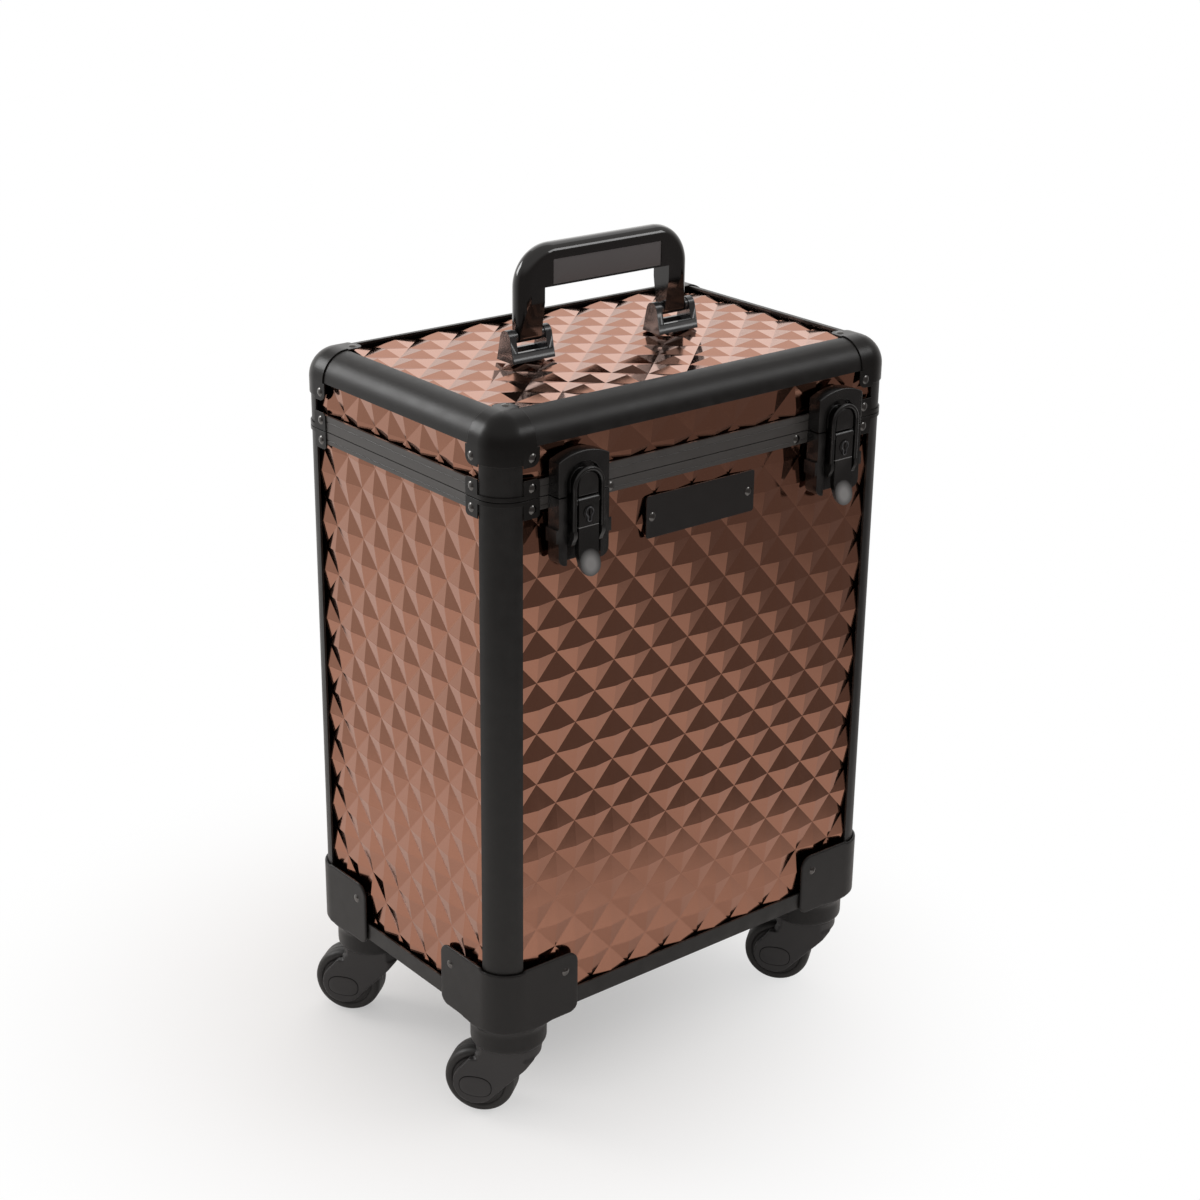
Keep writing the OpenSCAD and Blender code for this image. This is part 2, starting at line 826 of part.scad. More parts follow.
module lid_rivets() {
    color(steel) in_frame() {
        at_corners()
            both_faces() {
                face_rivet(cap_rivet, parting_z + rim_rivet_h, rim_shank);
                face_rivet(cap_rivet, top_z - cap_rivet, cap_shank);
            }
        at_corners()
            translate([cap_rivet, cap_rivet, top_z - tab_low]) rivet(cap_shank);
        for (side = [-1, 1])
            for (end = [-1, 1])
                on_back(side * hinge_span / 2 + end * hinge_w / 3)
                    translate([0, leaf_t, parting_z + hinge_leaf_h * 0.68])
                        rotate([-90, 0, 0]) rivet(leaf_t - 0.1);
    }
}

// Name plate

module name_plate() {
    color(gloss_black) in_frame()
        on_front(plate_x)
            translate([0, 0, plate_z])
                difference() {
                    upright(fit - rail_t, fit + plate_t - rail_t) rounded_outline(plate_w, plate_h, 2);
                    for (side = [-1, 1])
                        translate([side * (plate_w / 2 - 5), 0, 0])
                            rotate([90, 0, 0]) cylinder(r = rivet_r, h = 10, center = true);
                }
}

// Hinges

// a leaf below the hinge line, with the knuckles that lie between each pair in spans
module hinge_leaf(spans) {
    axis_o = hinge_y - half_d;
    difference() {
        union() {
            upright(0, leaf_t)
                translate([0, -hinge_leaf_h / 2 - play / 2])
                    rounded_outline(hinge_w, hinge_leaf_h - play, 2);
            for (span = spans) {
                sideways(span[0], span[1])
                    translate([axis_o, 0]) circle(barrel_r);
                sideways(span[0], span[1])
                    box_outline([0, -barrel_r], [axis_o, -play]);
            }
        }
        for (end = [-1, 1])
            translate([end * hinge_w / 3, 0, -hinge_leaf_h * 0.68])
                rotate([90, 0, 0]) cylinder(r = rivet_r, h = 10, center = true);
        sideways(-hinge_w, hinge_w)
            translate([axis_o, 0]) circle(hinge_pin_r + run);
    }
}

module body_hinge_leaves() {
    color(black_metal) in_frame()
        for (side = [-1, 1])
            on_back(side * hinge_span / 2)
                translate([0, 0, parting_z])
                    hinge_leaf([[-hinge_w / 2, -knuckle_w / 2 - play],
                        [knuckle_w / 2 + play, hinge_w / 2]]);
}

module lid_hinge_leaves() {
    color(black_metal) in_frame()
        for (side = [-1, 1])
            on_back(side * hinge_span / 2)
                translate([0, 0, parting_z])
                    mirror([0, 0, 1]) hinge_leaf([[-knuckle_w / 2, knuckle_w / 2]]);
}

module hinge_pins() {
    color(steel) in_frame()
        for (side = [-1, 1])
            translate([side * hinge_span / 2, hinge_y, parting_z])
                rotate([0, 90, 0])
                    cylinder(r = hinge_pin_r, h = hinge_w, center = true);
}

// Casters

module at_swivel(side_x, side_y) {
    translate([side_x * (half_w - swivel_in), side_y * (half_d - swivel_in), 0]) children();
}

// wing of the housing on one face, drawn in the corner's frame
module housing_wing() {
    translate([rail_r, -fit, housing_low])
        rotate([90, 0, 0])
            linear_extrude(housing_t) {
                translate([0, (ground_gap + wing_h - housing_low) / 2])
                    one_round_corner(wing_reach - rail_r, (ground_gap + wing_h - housing_low) / 2, 9);
                translate([0, (ground_gap + wing_h - housing_low) / 2])
                    mirror([0, 1, 0])
                        one_round_corner(wing_reach - rail_r,
                            (ground_gap + wing_h - housing_low) / 2, 7);
            }
}

// outline of the housing's floor: it fills the corner out to the housing's outer faces
module housing_floor_outline() {
    out = -fit - housing_t;
    translate([rail_r, rail_r]) circle(rail_r - out);
    box_outline([rail_r, out], [wing_reach - 8, wing_reach - 16]);
    box_outline([out, rail_r], [wing_reach - 16, wing_reach - 8]);
    translate([wing_reach - 16, wing_reach - 16]) circle(8);
}

module caster_housing() {
    fillet_r = 9;
    collar_round = 3;
    difference() {
        union() {
            both_faces() housing_wing();
            translate([0, 0, housing_low])
                linear_extrude(ground_gap + wing_h - 1.5 - housing_low)
                    quarter_ring(rail_r + fit + housing_t, rail_r + fit, rail_r);
            intersection() {
                translate([swivel_in, swivel_in, 0])
                    rotate_extrude() {
                        box_outline([0, swivel_z], [collar_r - collar_round, ground_gap - fit]);
                        box_outline([0, swivel_z + collar_round], [collar_r, ground_gap - fit]);
                        translate([collar_r - collar_round, swivel_z + collar_round])
                            circle(collar_round);
                        difference() {
                            box_outline([0, housing_low - fillet_r], [collar_r + 60, ground_gap - fit]);
                            translate([collar_r + fillet_r, housing_low - fillet_r])
                                circle(fillet_r);
                            box_outline([collar_r + fillet_r, 0], [collar_r + 61, housing_low]);
                        }
                    }
                translate([0, 0, swivel_z - 1])
                    linear_extrude(ground_gap - swivel_z + 2) housing_floor_outline();
            }
        }
        translate([swivel_in, swivel_in, swivel_z - 1]) {
            cylinder(r = kingpin_r + 0.02, h = ground_gap - swivel_z - 3);
            cylinder(r = bearing_r + fit, h = bearing_h + 1 + fit);
        }
        both_faces()
            translate([wing_screw, -housing_t - 1, wing_screw_z])
                rotate([-90, 0, 0]) cylinder(r = rivet_r, h = housing_t + 2);
    }
}

module caster_housings() {
    color(black_plastic) in_frame() at_corners() caster_housing();
}

module at_swivels() {
    for (side_x = [-1, 1])
        for (side_y = [-1, 1])
            at_swivel(side_x, side_y) children();
}

module swivel_bearings() {
    color(steel) in_frame()
        at_swivels()
            translate([0, 0, swivel_z])
                difference() {
                    cylinder(r = bearing_r, h = bearing_h);
                    translate([0, 0, -1]) cylinder(r = kingpin_r + fit, h = bearing_h + 2);
                }
}

module kingpins() {
    color(steel) in_frame()
        at_swivels()
            translate([0, 0, kingpin_low])
                cylinder(r = kingpin_r, h = ground_gap - 4 - play - kingpin_low);
}

// side outline of a cheek, the swivel axis at X = 0 and the wheel trailing towards +X
module cheek_outline() {
    mid_x = caster_trail + 1;
    mid_z = wheel_r + 1.3;
    lean = cheek_r * sqrt(0.5);
    translate([mid_x, mid_z]) circle(cheek_r);
    polygon([
        [-fork_r + 1, fork_top - 8],
        [-fork_r + 2.7, fork_top - 10.2],
        [-fork_r + 8.5, fork_top - 17.2],
        [mid_x - lean, mid_z - lean],
        [mid_x + lean, mid_z + lean],
        [fork_r + 1, fork_top - 12.5],
        [fork_r - 0.5, fork_top - 8]
    ]);
}

// fork with its swivel axis on Z and the wheel trailing towards +X
module fork() {
    difference() {
        union() {
            translate([0, 0, fork_top - 9]) cylinder(r = fork_r, h = 9);
            intersection() {
                upright(-cheek_out, cheek_out) cheek_outline();
                union() {
                    cylinder(r = fork_r + 1.5, h = fork_top - 8);
                    translate([0, -cheek_out, 0])
                        cube([2 * (caster_trail + cheek_r), 2 * cheek_out, fork_top - 12]);
                }
            }
            // oval caps over the ends of the axle
            translate([caster_trail, 0, wheel_r])
                upright(-cheek_out - cap_t, cheek_out + cap_t) rounded_outline(22.6, 15, 7.4);
        }
        translate([caster_trail, 0, wheel_r])
            rotate([90, 0, 0]) cylinder(r = wheel_r + 1.6, h = 2 * fork_gap, center = true);
        translate([0, 0, kingpin_low - 0.5]) cylinder(r = kingpin_r + run, h = fork_top);
        translate([caster_trail, 0, wheel_r])
            rotate([90, 0, 0]) cylinder(r = axle_r + 0.01, h = 2 * axle_half, center = true);
    }
}

module placed_fork_part(side_x, side_y) {
    in_frame() at_swivel(side_x, side_y) rotate(trail_angle) children();
}

module axle() {
    translate([caster_trail, 0, wheel_r])
        rotate([90, 0, 0]) cylinder(r = axle_r, h = 2 * axle_half - fit, center = true);
}

module wheel() {
    tread_r = 4;
    translate([caster_trail, 0, wheel_r])
        rotate([90, 0, 0])
            rotate_extrude() {
                difference() {
                    union() {
                        box_outline([axle_r + run, -wheel_w / 2], [wheel_r - tread_r, wheel_w / 2]);
                        box_outline([axle_r + run, -wheel_w / 2 + tread_r],
                            [wheel_r, wheel_w / 2 - tread_r]);
                        for (side = [-1, 1])
                            translate([wheel_r - tread_r, side * (wheel_w / 2 - tread_r)])
                                circle(tread_r);
                    }
                    for (side = [-1, 1])
                        box_outline([axle_r + 3.5, side * wheel_w / 2 - 2],
                            [wheel_r - 6, side * wheel_w / 2 + 2]);
                }
            }
}

module front_left_fork() { color(black_plastic) placed_fork_part(-1, -1) fork(); }
module front_right_fork() { color(black_plastic) placed_fork_part(1, -1) fork(); }
module back_left_fork() { color(black_plastic) placed_fork_part(-1, 1) fork(); }
module back_right_fork() { color(black_plastic) placed_fork_part(1, 1) fork(); }
module front_left_axle() { color(steel) placed_fork_part(-1, -1) axle(); }
module front_right_axle() { color(steel) placed_fork_part(1, -1) axle(); }
module back_left_axle() { color(steel) placed_fork_part(-1, 1) axle(); }
module back_right_axle() { color(steel) placed_fork_part(1, 1) axle(); }
module front_left_wheel() { color(black_plastic) placed_fork_part(-1, -1) wheel(); }
module front_right_wheel() { color(black_plastic) placed_fork_part(1, -1) wheel(); }
module back_left_wheel() { color(black_plastic) placed_fork_part(-1, 1) wheel(); }
module back_right_wheel() { color(black_plastic) placed_fork_part(1, 1) wheel(); }

// Latches, drawn with +Y out of the front face

// a plate as wide as the latch whose end at height end_z is a shallow arch
module arched_plate(low, end_z, rise) {
    arch_r = (latch_w * latch_w / 4 + rise * rise) / (2 * rise);
    intersection() {
        box_outline([-latch_w / 2, low], [latch_w / 2, end_z]);
        translate([0, end_z - arch_r]) circle(arch_r, $fn = 128);
    }
}

// a tongue as wide as w from low up to a round end whose centre is at round_z
module round_end_strip(w, low, round_z) {
    box_outline([-w / 2, low], [w / 2, round_z]);
    intersection() {
        translate([0, round_z]) circle(w / 2);
        box_outline([-w / 2, round_z - 1], [w / 2, round_z + w]);
    }
}

module latch_keeper() {
    low = parting_z + play;
    difference() {
        upright(tab_gap, latch_d) arched_plate(low, parting_z + keeper_h, 5);
        upright(latch_d - pocket_d, latch_d + 1)
            round_end_strip(channel_w, low - 1, boss_centre_z);
    }
    upright(latch_d - pocket_d, lever_front - 0.4)
        round_end_strip(lever_w, low, boss_centre_z);
}

module latch_keepers() {
    color(gloss_black) in_frame() at_latches() latch_keeper();
}

module latch_base() {
    high = parting_z - play;
    low = parting_z - latch_base_h;
    difference() {
        upright(tab_gap, latch_d)
            translate([0, (high + low) / 2]) {
                rounded_outline(latch_w, high - low, 6);
                translate([0, (high - low) / 4])
                    square([latch_w, (high - low) / 2], center = true);
                translate([0, -2]) square([latch_w + 4, 9], center = true);
            }
        translate([-channel_w / 2, tab_gap + 3, low - 1]) cube([channel_w, latch_d, high - low + 2]);
    }
    // ears that carry the lever's pin, with a window for the tail of the lock
    for (side = [-1, 1])
        difference() {
            translate([side * (lever_w / 2 + play + ear_t / 2), 0, 0])
                sideways(-ear_t / 2, ear_t / 2) {
                    translate([lever_pivot_o, lever_pivot_z]) circle(ear_r);
                    box_outline([tab_gap + 2, plug_z - 8],
                        [lever_pivot_o, lever_pivot_z + ear_r]);
                }
            translate([0, lever_pivot_o, lever_pivot_z])
                rotate([0, 90, 0]) cylinder(r = lever_pin_r, h = latch_w, center = true);
            translate([-latch_w / 2, lock_tail_o - play, plug_z - 4.5])
                cube([latch_w, lock_tail_t + 2 * play, 6.5]);
        }
}

module latch_bases() {
    color(gloss_black) in_frame() at_latches() latch_base();
}

module latch_pins() {
    color(steel) in_frame()
        at_latches()
            translate([0, lever_pivot_o, lever_pivot_z])
                rotate([0, 90, 0])
                    cylinder(r = lever_pin_r - 0.01, h = lever_w + 2 * (play + ear_t), center = true);
}

// side outline of the lever: X is out of the face, Y is up
module lever_outline() {
    tab_z = lever_pivot_z + lever_hub_r - lever_h;
    thick = lever_front - 4;
    translate([lever_pivot_o, lever_pivot_z]) circle(lever_hub_r);
    translate([bail_pivot_o, bail_z]) circle(wire_r + 1.5);
    polygon([
        [thick, lever_pivot_z],
        [thick, tab_z + 17],
        [lever_front - 3.4, tab_z + 13],
        [tab_out - 3.2, tab_z + 4],
        [tab_out - 2.4, tab_z],
        [tab_out, tab_z],
        [tab_out - 0.6, tab_z + 4],
        [lever_front, tab_z + 15],
        [lever_front, lever_pivot_z]
    ]);
}

module lever() {
    tab_z = lever_pivot_z + lever_hub_r - lever_h;
    difference() {
        sideways(-lever_w / 2, lever_w / 2) lever_outline();
        // round end of the finger tab
        upright(0, tab_out + 1)
            difference() {
                box_outline([-lever_w, tab_z - 1], [lever_w, tab_z + lever_w / 2]);
                translate([0, tab_z + lever_w / 2]) circle(lever_w / 2);
            }
        translate([0, lever_pivot_o, lever_pivot_z])
            rotate([0, 90, 0]) cylinder(r = lever_pin_r + run, h = lever_w + 2, center = true);
        translate([0, bail_pivot_o, bail_z])
            rotate([0, 90, 0]) cylinder(r = wire_r + run, h = lever_w + 2, center = true);
        translate([0, lever_front - plug_t, plug_z])
            rotate([-90, 0, 0]) cylinder(r = plug_r + run, h = plug_t + 1);
        translate([0, 0, plug_z])
            rotate([-90, 0, 0]) cylinder(r = lock_stem_r + run, h = lever_front);
        // split line below the lock
        translate([-lever_w, lever_front - 0.5, plug_z - 8.9]) cube([2 * lever_w, 1, 0.7]);
    }
}

// loop down both sides of the lever and round the keeper's boss, on two flat feet
module bail() {
    foot_z = bail_z + 8;
    for (side = [-1, 1]) {
        translate([side * bail_half, bail_o, foot_z])
            cylinder(r = wire_r, h = bail_arch_z - foot_z);
        translate([side * bail_half, 0, 0])
            sideways(-wire_r, wire_r) {
                translate([bail_pivot_o, bail_z]) circle(2.3);
                polygon([
                    [bail_pivot_o - 2.3, bail_z],
                    [bail_pivot_o + 2.3, bail_z],
                    [bail_o + wire_r, foot_z - 4],
                    [bail_o + wire_r, foot_z],
                    [bail_o - wire_r, foot_z]
                ]);
            }
        translate([side * 3, bail_pivot_o, bail_z])
            rotate([0, side * 90, 0]) cylinder(r = wire_r, h = bail_half - 3);
    }
    translate([0, bail_o, bail_arch_z])
        rotate([90, 0, 0])
            rotate_extrude(angle = 180) translate([bail_half, 0]) circle(wire_r, $fn = 24);
}

// lock plug with a tail behind the lever, drawn unlocked: a quarter turn puts the tail
// into the window of an ear
module lock_plug() {
    difference() {
        translate([0, lever_front - plug_t + fit, plug_z])
            rotate([-90, 0, 0]) cylinder(r = plug_r, h = plug_t + 0.4);
        translate([-0.5, lever_front - 0.8, plug_z - 2.5]) cube([1, 3, 5]);
    }
    translate([0, lock_tail_o, plug_z])
        rotate([-90, 0, 0]) cylinder(r = lock_stem_r, h = lever_front - 1 - lock_tail_o);
    upright(lock_tail_o, lock_tail_o + lock_tail_t)
        translate([0, plug_z]) {
            circle(lock_stem_r);
            box_outline([-1.5, -lever_w / 2 - play - ear_t + 0.2], [1.5, 0]);
        }
}

module left_lever() { color(gloss_black) in_frame() on_front(-latch_span / 2) lever(); }
module right_lever() { color(gloss_black) in_frame() on_front(latch_span / 2) lever(); }
module left_bail() { color(black_metal) in_frame() on_front(-latch_span / 2) bail(); }
module right_bail() { color(black_metal) in_frame() on_front(latch_span / 2) bail(); }
module left_lock() { color(steel) in_frame() on_front(-latch_span / 2) lock_plug(); }
module right_lock() { color(steel) in_frame() on_front(latch_span / 2) lock_plug(); }

// Carry handle

// section of the handle from its inside, at X = 0, to its round outside at X = reach
module handle_section(reach) {
    half = handle_d / 2;
    box_outline([0, -half], [reach - half, half]);
    translate([reach - half, 0]) circle(half);
}

// right corner and leg of the handle
module handle_leg() {
    shoulder = top_z + handle_h - handle_r;
    translate([handle_w / 2 - handle_r, 0, shoulder])
        rotate([90, 0, 0])
            rotate_extrude(angle = 90) handle_section(handle_r);
    translate([handle_w / 2 - foot_w, 0, handle_low])
        linear_extrude(shoulder - handle_low) handle_section(foot_w);
}

// grip bar between the two corners
module handle_bar() {
    top = top_z + handle_h;
    shoulder = top - handle_r;
    low = min(shoulder, top - grip_h);
    corner_x = handle_w / 2 - handle_r;
    fill_x = handle_w / 2 - foot_w + 1;
    translate([corner_x, 0, top - grip_h])
        rotate([0, -90, 0])
            linear_extrude(2 * corner_x) handle_section(grip_h);
    translate([-fill_x, -handle_d / 2, low]) cube([2 * fill_x, handle_d, shoulder + 1 - low]);
}

// taper of the legs in side view, drawn around the handle's pins
module leg_side_outline() {
    half = handle_d / 2;
    polygon([[-half, handle_pin_z + 21.5], [-4.6, handle_pin_z],
        [4.6, handle_pin_z], [half, handle_pin_z + 21.5]]);
    translate([0, handle_pin_z]) circle(4.6);
    box_outline([-half - 1, handle_pin_z + 21.5], [half + 1, top_z + handle_h + 1]);
}

module carry_handle() {
    gap = handle_w / 2 - foot_w;
    color(gloss_black) in_frame()
        difference() {
            union() {
                handle_bar();
                for (turn = [0, 1]) mirror([turn, 0, 0]) handle_leg();
            }
            // opening for the hand
            upright(-handle_d, handle_d) {
                box_outline([-gap, handle_low - 1], [gap, top_z + handle_h - grip_h - 3]);
                translate([0, top_z + handle_h - grip_h - 6]) rounded_outline(2 * gap, 12, 3);
            }
            sideways(-handle_w, handle_w)
                difference() {
                    box_outline([-handle_d, handle_low - 1], [handle_d, top_z + handle_h + 1]);
                    leg_side_outline();
                }
            for (side = [-1, 1])
                translate([side * foot_span / 2, 0, handle_pin_z])
                    rotate([0, 90, 0])
                        cylinder(r = handle_pin_r + run, h = foot_w + 4, center = true);
            for (side = [-1, 1])
                insert_place(side, insert_t + fit) rounded_outline(insert_w, insert_h, 1);
        }
}

// where an insert lies in the grip's front and back
module insert_place(side, depth) {
    translate([0, side > 0 ? handle_d / 2 - depth : -handle_d / 2 - 1, insert_z])
        upright(0, depth + 1) children();
}

module handle_inserts() {
    color(black_plastic) in_frame()
        for (side = [-1, 1])
            translate([0, side > 0 ? handle_d / 2 - insert_t : -handle_d / 2, insert_z])
                upright(0, insert_t) rounded_outline(insert_w - 2 * fit, insert_h - 2 * fit, 1);
}

module handle_bracket() {
    half = bracket_d / 2;
    lean = (half - 5) / (handle_pin_z + 1.5 - seat_z);
    difference() {
        union() {
            for (side = [-1, 1]) {
                translate([side * (bracket_w - bracket_t) / 2, 0, 0])
                    sideways(-bracket_t / 2, bracket_t / 2) {
                        polygon([[-half, seat_z], [half, seat_z],
                            [5, handle_pin_z + 1.5], [-5, handle_pin_z + 1.5]]);
                        translate([0, handle_pin_z]) circle(5);
                    }
                // round boss from the cheek to the foot
                translate([side * (bracket_w / 2 - bracket_t / 2), 0, handle_pin_z])
                    rotate([0, -side * 90, 0])
                        cylinder(r = 4.4, h = (bracket_w - foot_w - bracket_t) / 2 - play);
                // low wall in front of or behind the foot
                rotate(side > 0 ? 180 : 0)
                    sideways(-bracket_w / 2 + 1, bracket_w / 2 - 1)
                        polygon([[-half, seat_z], [-half + 4, seat_z],
                            [-half + 4, seat_z + bracket_wall_h],
                            [-half + bracket_wall_h * lean, seat_z + bracket_wall_h]]);
            }
        }
        translate([0, 0, handle_pin_z])
            rotate([0, 90, 0]) cylinder(r = handle_pin_r, h = bracket_w + 2, center = true);
    }
}

module handle_brackets() {
    color(gloss_black) in_frame()
        for (side = [-1, 1])
            translate([side * foot_span / 2, 0, 0]) handle_bracket();
}

module handle_pins() {
    color(steel) in_frame()
        for (side = [-1, 1])
            translate([side * foot_span / 2, 0, handle_pin_z])
                rotate([0, 90, 0])
                    cylinder(r = handle_pin_r - 0.01, h = bracket_w, center = true);
}

// Pull handle

module tube_outline(w, d, t) {
    difference() {
        rounded_outline(w, d, 4);
        rounded_outline(w - 2 * t, d - 2 * t, 4 - t);
    }
}

module tube_pair(w, d, t, low, high) {
    for (side = [-1, 1])
        translate([side * tube_span / 2, tube_y, low])
            linear_extrude(high - low) tube_outline(w, d, t);
}

module outer_tubes() {
    color(steel) in_frame() tube_pair(tube_w, tube_d, tube_t, tube_low, tube_top);
}

module mid_tubes() {
    color(steel) in_frame() tube_pair(mid_w, mid_d, tube_t, tube_low + 4, tube_top + 2);
}

module inner_tubes() {
    color(steel) in_frame()
        tube_pair(inner_w, inner_d, tube_t, tube_low + 6, grip_low + 6);
}

// housing across the back that holds both outer tubes, from low to high
module tube_housing(low, high, closed_h) {
    d = pull_back - half_d - fit;
    difference() {
        translate([0, half_d + fit + d / 2, low])
            linear_extrude(high - low)
                rounded_outline(tube_span + tube_w + 16, d, 5);
        for (side = [-1, 1])
            translate([side * tube_span / 2, tube_y, low + closed_h])
                linear_extrude(high)
                    rounded_outline(tube_w + 2 * fit, tube_d + 2 * fit, 4 + fit);
    }
}

module tube_head() {
    color(black_plastic) in_frame() tube_housing(tube_top - tube_head_h, tube_top, -1);
}

module tube_foot() {
    color(black_plastic) in_frame() tube_housing(tube_low - 4, tube_low - 4 + tube_foot_h, 4);
}

module pull_grip() {
    w = tube_span + tube_w + 12;
    d = pull_back - half_d - play;
    leg_low = tube_top + 2 + play;
    color(black_plastic) in_frame()
        difference() {
            union() {
                translate([0, half_d + play + d / 2, grip_low])
                    linear_extrude(pull_grip_h) rounded_outline(w, d, 8);
                for (side = [-1, 1])
                    translate([side * tube_span / 2, half_d + play + d / 2, leg_low])
                        linear_extrude(grip_low - leg_low + 1)
                            rounded_outline(tube_w + 4, d, 6);
            }
            for (side = [-1, 1])
                translate([side * tube_span / 2, tube_y, leg_low - 1])
                    linear_extrude(grip_low + 6 + fit - leg_low + 1)
                        rounded_outline(inner_w + 2 * fit, inner_d + 2 * fit, 4 + fit);
            translate([0, tube_y, spring_low])
                linear_extrude(grip_top - spring_low + 1)
                    rounded_outline(button_w + 2 * play, button_d + 2 * play, button_d / 2);
        }
}

module release_button() {
    color(black_metal) in_frame()
        translate([0, tube_y, button_low])
            linear_extrude(button_h) rounded_outline(button_w, button_d, button_d / 2 - play);
}

// coil under the release button: half turns tilted one way and the other, so that the end
// of each is the start of the next
module button_spring() {
    halves = 8;
    rise = (spring_h - 2 * spring_wire_r - 2 * fit) / halves;
    tilt = asin(rise / (2 * spring_r));
    color(steel) in_frame()
        translate([0, tube_y, spring_low + spring_wire_r + fit])
            for (k = [0 : halves - 1])
                translate([0, 0, (k + 0.5) * rise])
                    rotate([0, k % 2 == 0 ? tilt : -tilt, 0])
                        rotate(k % 2 * 180)
                            rotate_extrude(angle = 180)
                                translate([spring_r, 0]) circle(spring_wire_r, $fn = 16);
}

front_board();
back_board();
left_board();
right_board();
floor_board();
corner_posts();
bottom_rails();
body_rim();
body_rim_brackets();
body_lining();
body_rivets();
name_plate();
body_hinge_leaves();
hinge_pins();
latch_bases();
latch_pins();
caster_housings();
swivel_bearings();
kingpins();
outer_tubes();
tube_head();
tube_foot();
lid_board();
lid_side_boards();
lid_rails();
lid_rim();
lid_posts();
lid_ball_corners();
lid_rim_brackets();
lid_lining();
lid_rivets();
lid_hinge_leaves();
latch_keepers();
handle_brackets();
handle_pins();
carry_handle();
handle_inserts();
left_lever();
right_lever();
left_bail();
right_bail();
left_lock();
right_lock();
mid_tubes();
inner_tubes();
pull_grip();
release_button();
button_spring();
front_left_fork();
front_right_fork();
back_left_fork();
back_right_fork();
front_left_axle();
front_right_axle();
back_left_axle();
back_right_axle();
front_left_wheel();
front_right_wheel();
back_left_wheel();
back_right_wheel();
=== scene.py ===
import json
import math

import bmesh
import bpy
from mathutils import Matrix, Vector

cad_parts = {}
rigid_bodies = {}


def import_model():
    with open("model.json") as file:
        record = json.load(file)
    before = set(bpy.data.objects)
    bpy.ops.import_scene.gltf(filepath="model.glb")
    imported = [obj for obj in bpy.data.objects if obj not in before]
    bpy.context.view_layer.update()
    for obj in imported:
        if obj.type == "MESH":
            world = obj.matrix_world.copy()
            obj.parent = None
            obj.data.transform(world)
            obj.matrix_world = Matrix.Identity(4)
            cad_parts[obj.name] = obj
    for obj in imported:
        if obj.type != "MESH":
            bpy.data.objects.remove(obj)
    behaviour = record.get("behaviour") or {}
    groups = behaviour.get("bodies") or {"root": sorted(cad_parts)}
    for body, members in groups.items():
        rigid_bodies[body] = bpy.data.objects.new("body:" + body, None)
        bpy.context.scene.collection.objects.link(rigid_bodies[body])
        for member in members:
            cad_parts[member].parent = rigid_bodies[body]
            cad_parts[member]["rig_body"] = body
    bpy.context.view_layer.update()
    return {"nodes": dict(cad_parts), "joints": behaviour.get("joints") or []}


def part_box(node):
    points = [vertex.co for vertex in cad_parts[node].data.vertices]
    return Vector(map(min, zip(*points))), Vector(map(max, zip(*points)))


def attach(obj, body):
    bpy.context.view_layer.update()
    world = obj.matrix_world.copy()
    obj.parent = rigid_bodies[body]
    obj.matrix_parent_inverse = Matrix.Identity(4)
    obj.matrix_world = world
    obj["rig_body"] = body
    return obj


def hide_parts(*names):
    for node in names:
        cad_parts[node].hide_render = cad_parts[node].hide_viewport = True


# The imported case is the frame. Every dressed piece below is placed on it, in metres.
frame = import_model()
cadNodes = frame["nodes"]
nodeBody = {name: obj["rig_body"] for name, obj in cadNodes.items()}
jointPlace = {j["name"]: Vector(j["pos_m"]) for j in frame["joints"]}
jointAxis = {j["name"]: Vector(j["axis"]) for j in frame["joints"]}
corners = ("front_left", "front_right", "back_left", "back_right")
# the middle of the case seen from above lies between its four casters
caseMid = sum((jointPlace[c + "_swivel"] for c in corners), Vector()) / len(corners)
caseMid.z = 0
print("frame in:", len(cadNodes), "solids")


# camera, placed from the middle of the case
cameraSetup = {
    "place": (-0.93764, -1.14702, 0.91206),
    "azimuth": 39.353,                  # degrees, as are the next two
    "downTilt": 21.736,
    "roll": 0.752,
    "lens": 67.37,
    "sensor": 36,
    "nearest": 0.05,
    "farthest": 60,
}


def makeCamera():
    az, tilt, roll = (math.radians(cameraSetup[k]) for k in ("azimuth", "downTilt", "roll"))
    ahead = Vector((math.sin(az) * math.cos(tilt), math.cos(az) * math.cos(tilt), -math.sin(tilt)))
    side = ahead.cross(Vector((0, 0, 1))).normalized()
    up = side.cross(ahead)
    right = side * math.cos(roll) + up * math.sin(roll)
    above = up * math.cos(roll) - side * math.sin(roll)
    data = bpy.data.cameras.new("caseCamera")
    data.lens = cameraSetup["lens"]
    data.sensor_width = cameraSetup["sensor"]
    data.clip_start = cameraSetup["nearest"]
    data.clip_end = cameraSetup["farthest"]
    camera = bpy.data.objects.new("caseCamera", data)
    turned = Matrix((right, above, -ahead)).transposed().to_4x4()
    camera.matrix_world = Matrix.Translation(caseMid + Vector(cameraSetup["place"])) @ turned
    bpy.context.scene.collection.objects.link(camera)
    bpy.context.scene.camera = camera


makeCamera()
print("camera set")


# nodes, for the studio and the finishes
def addNode(tree, kind, values=None, **settings):
    # a new node with its settings, and then the plain values of its inputs
    node = tree.nodes.new(kind)
    for key, value in settings.items():
        setattr(node, key, value)
    for key, value in (values or {}).items():
        node.inputs[key].default_value = value
    return node


def linkNodes(tree, *pairs):
    for start, end in pairs:
        tree.links.new(start, end)


def opaque(colour):
    return (*colour, 1)


def toned(colour, share):
    return tuple(c * share for c in colour)


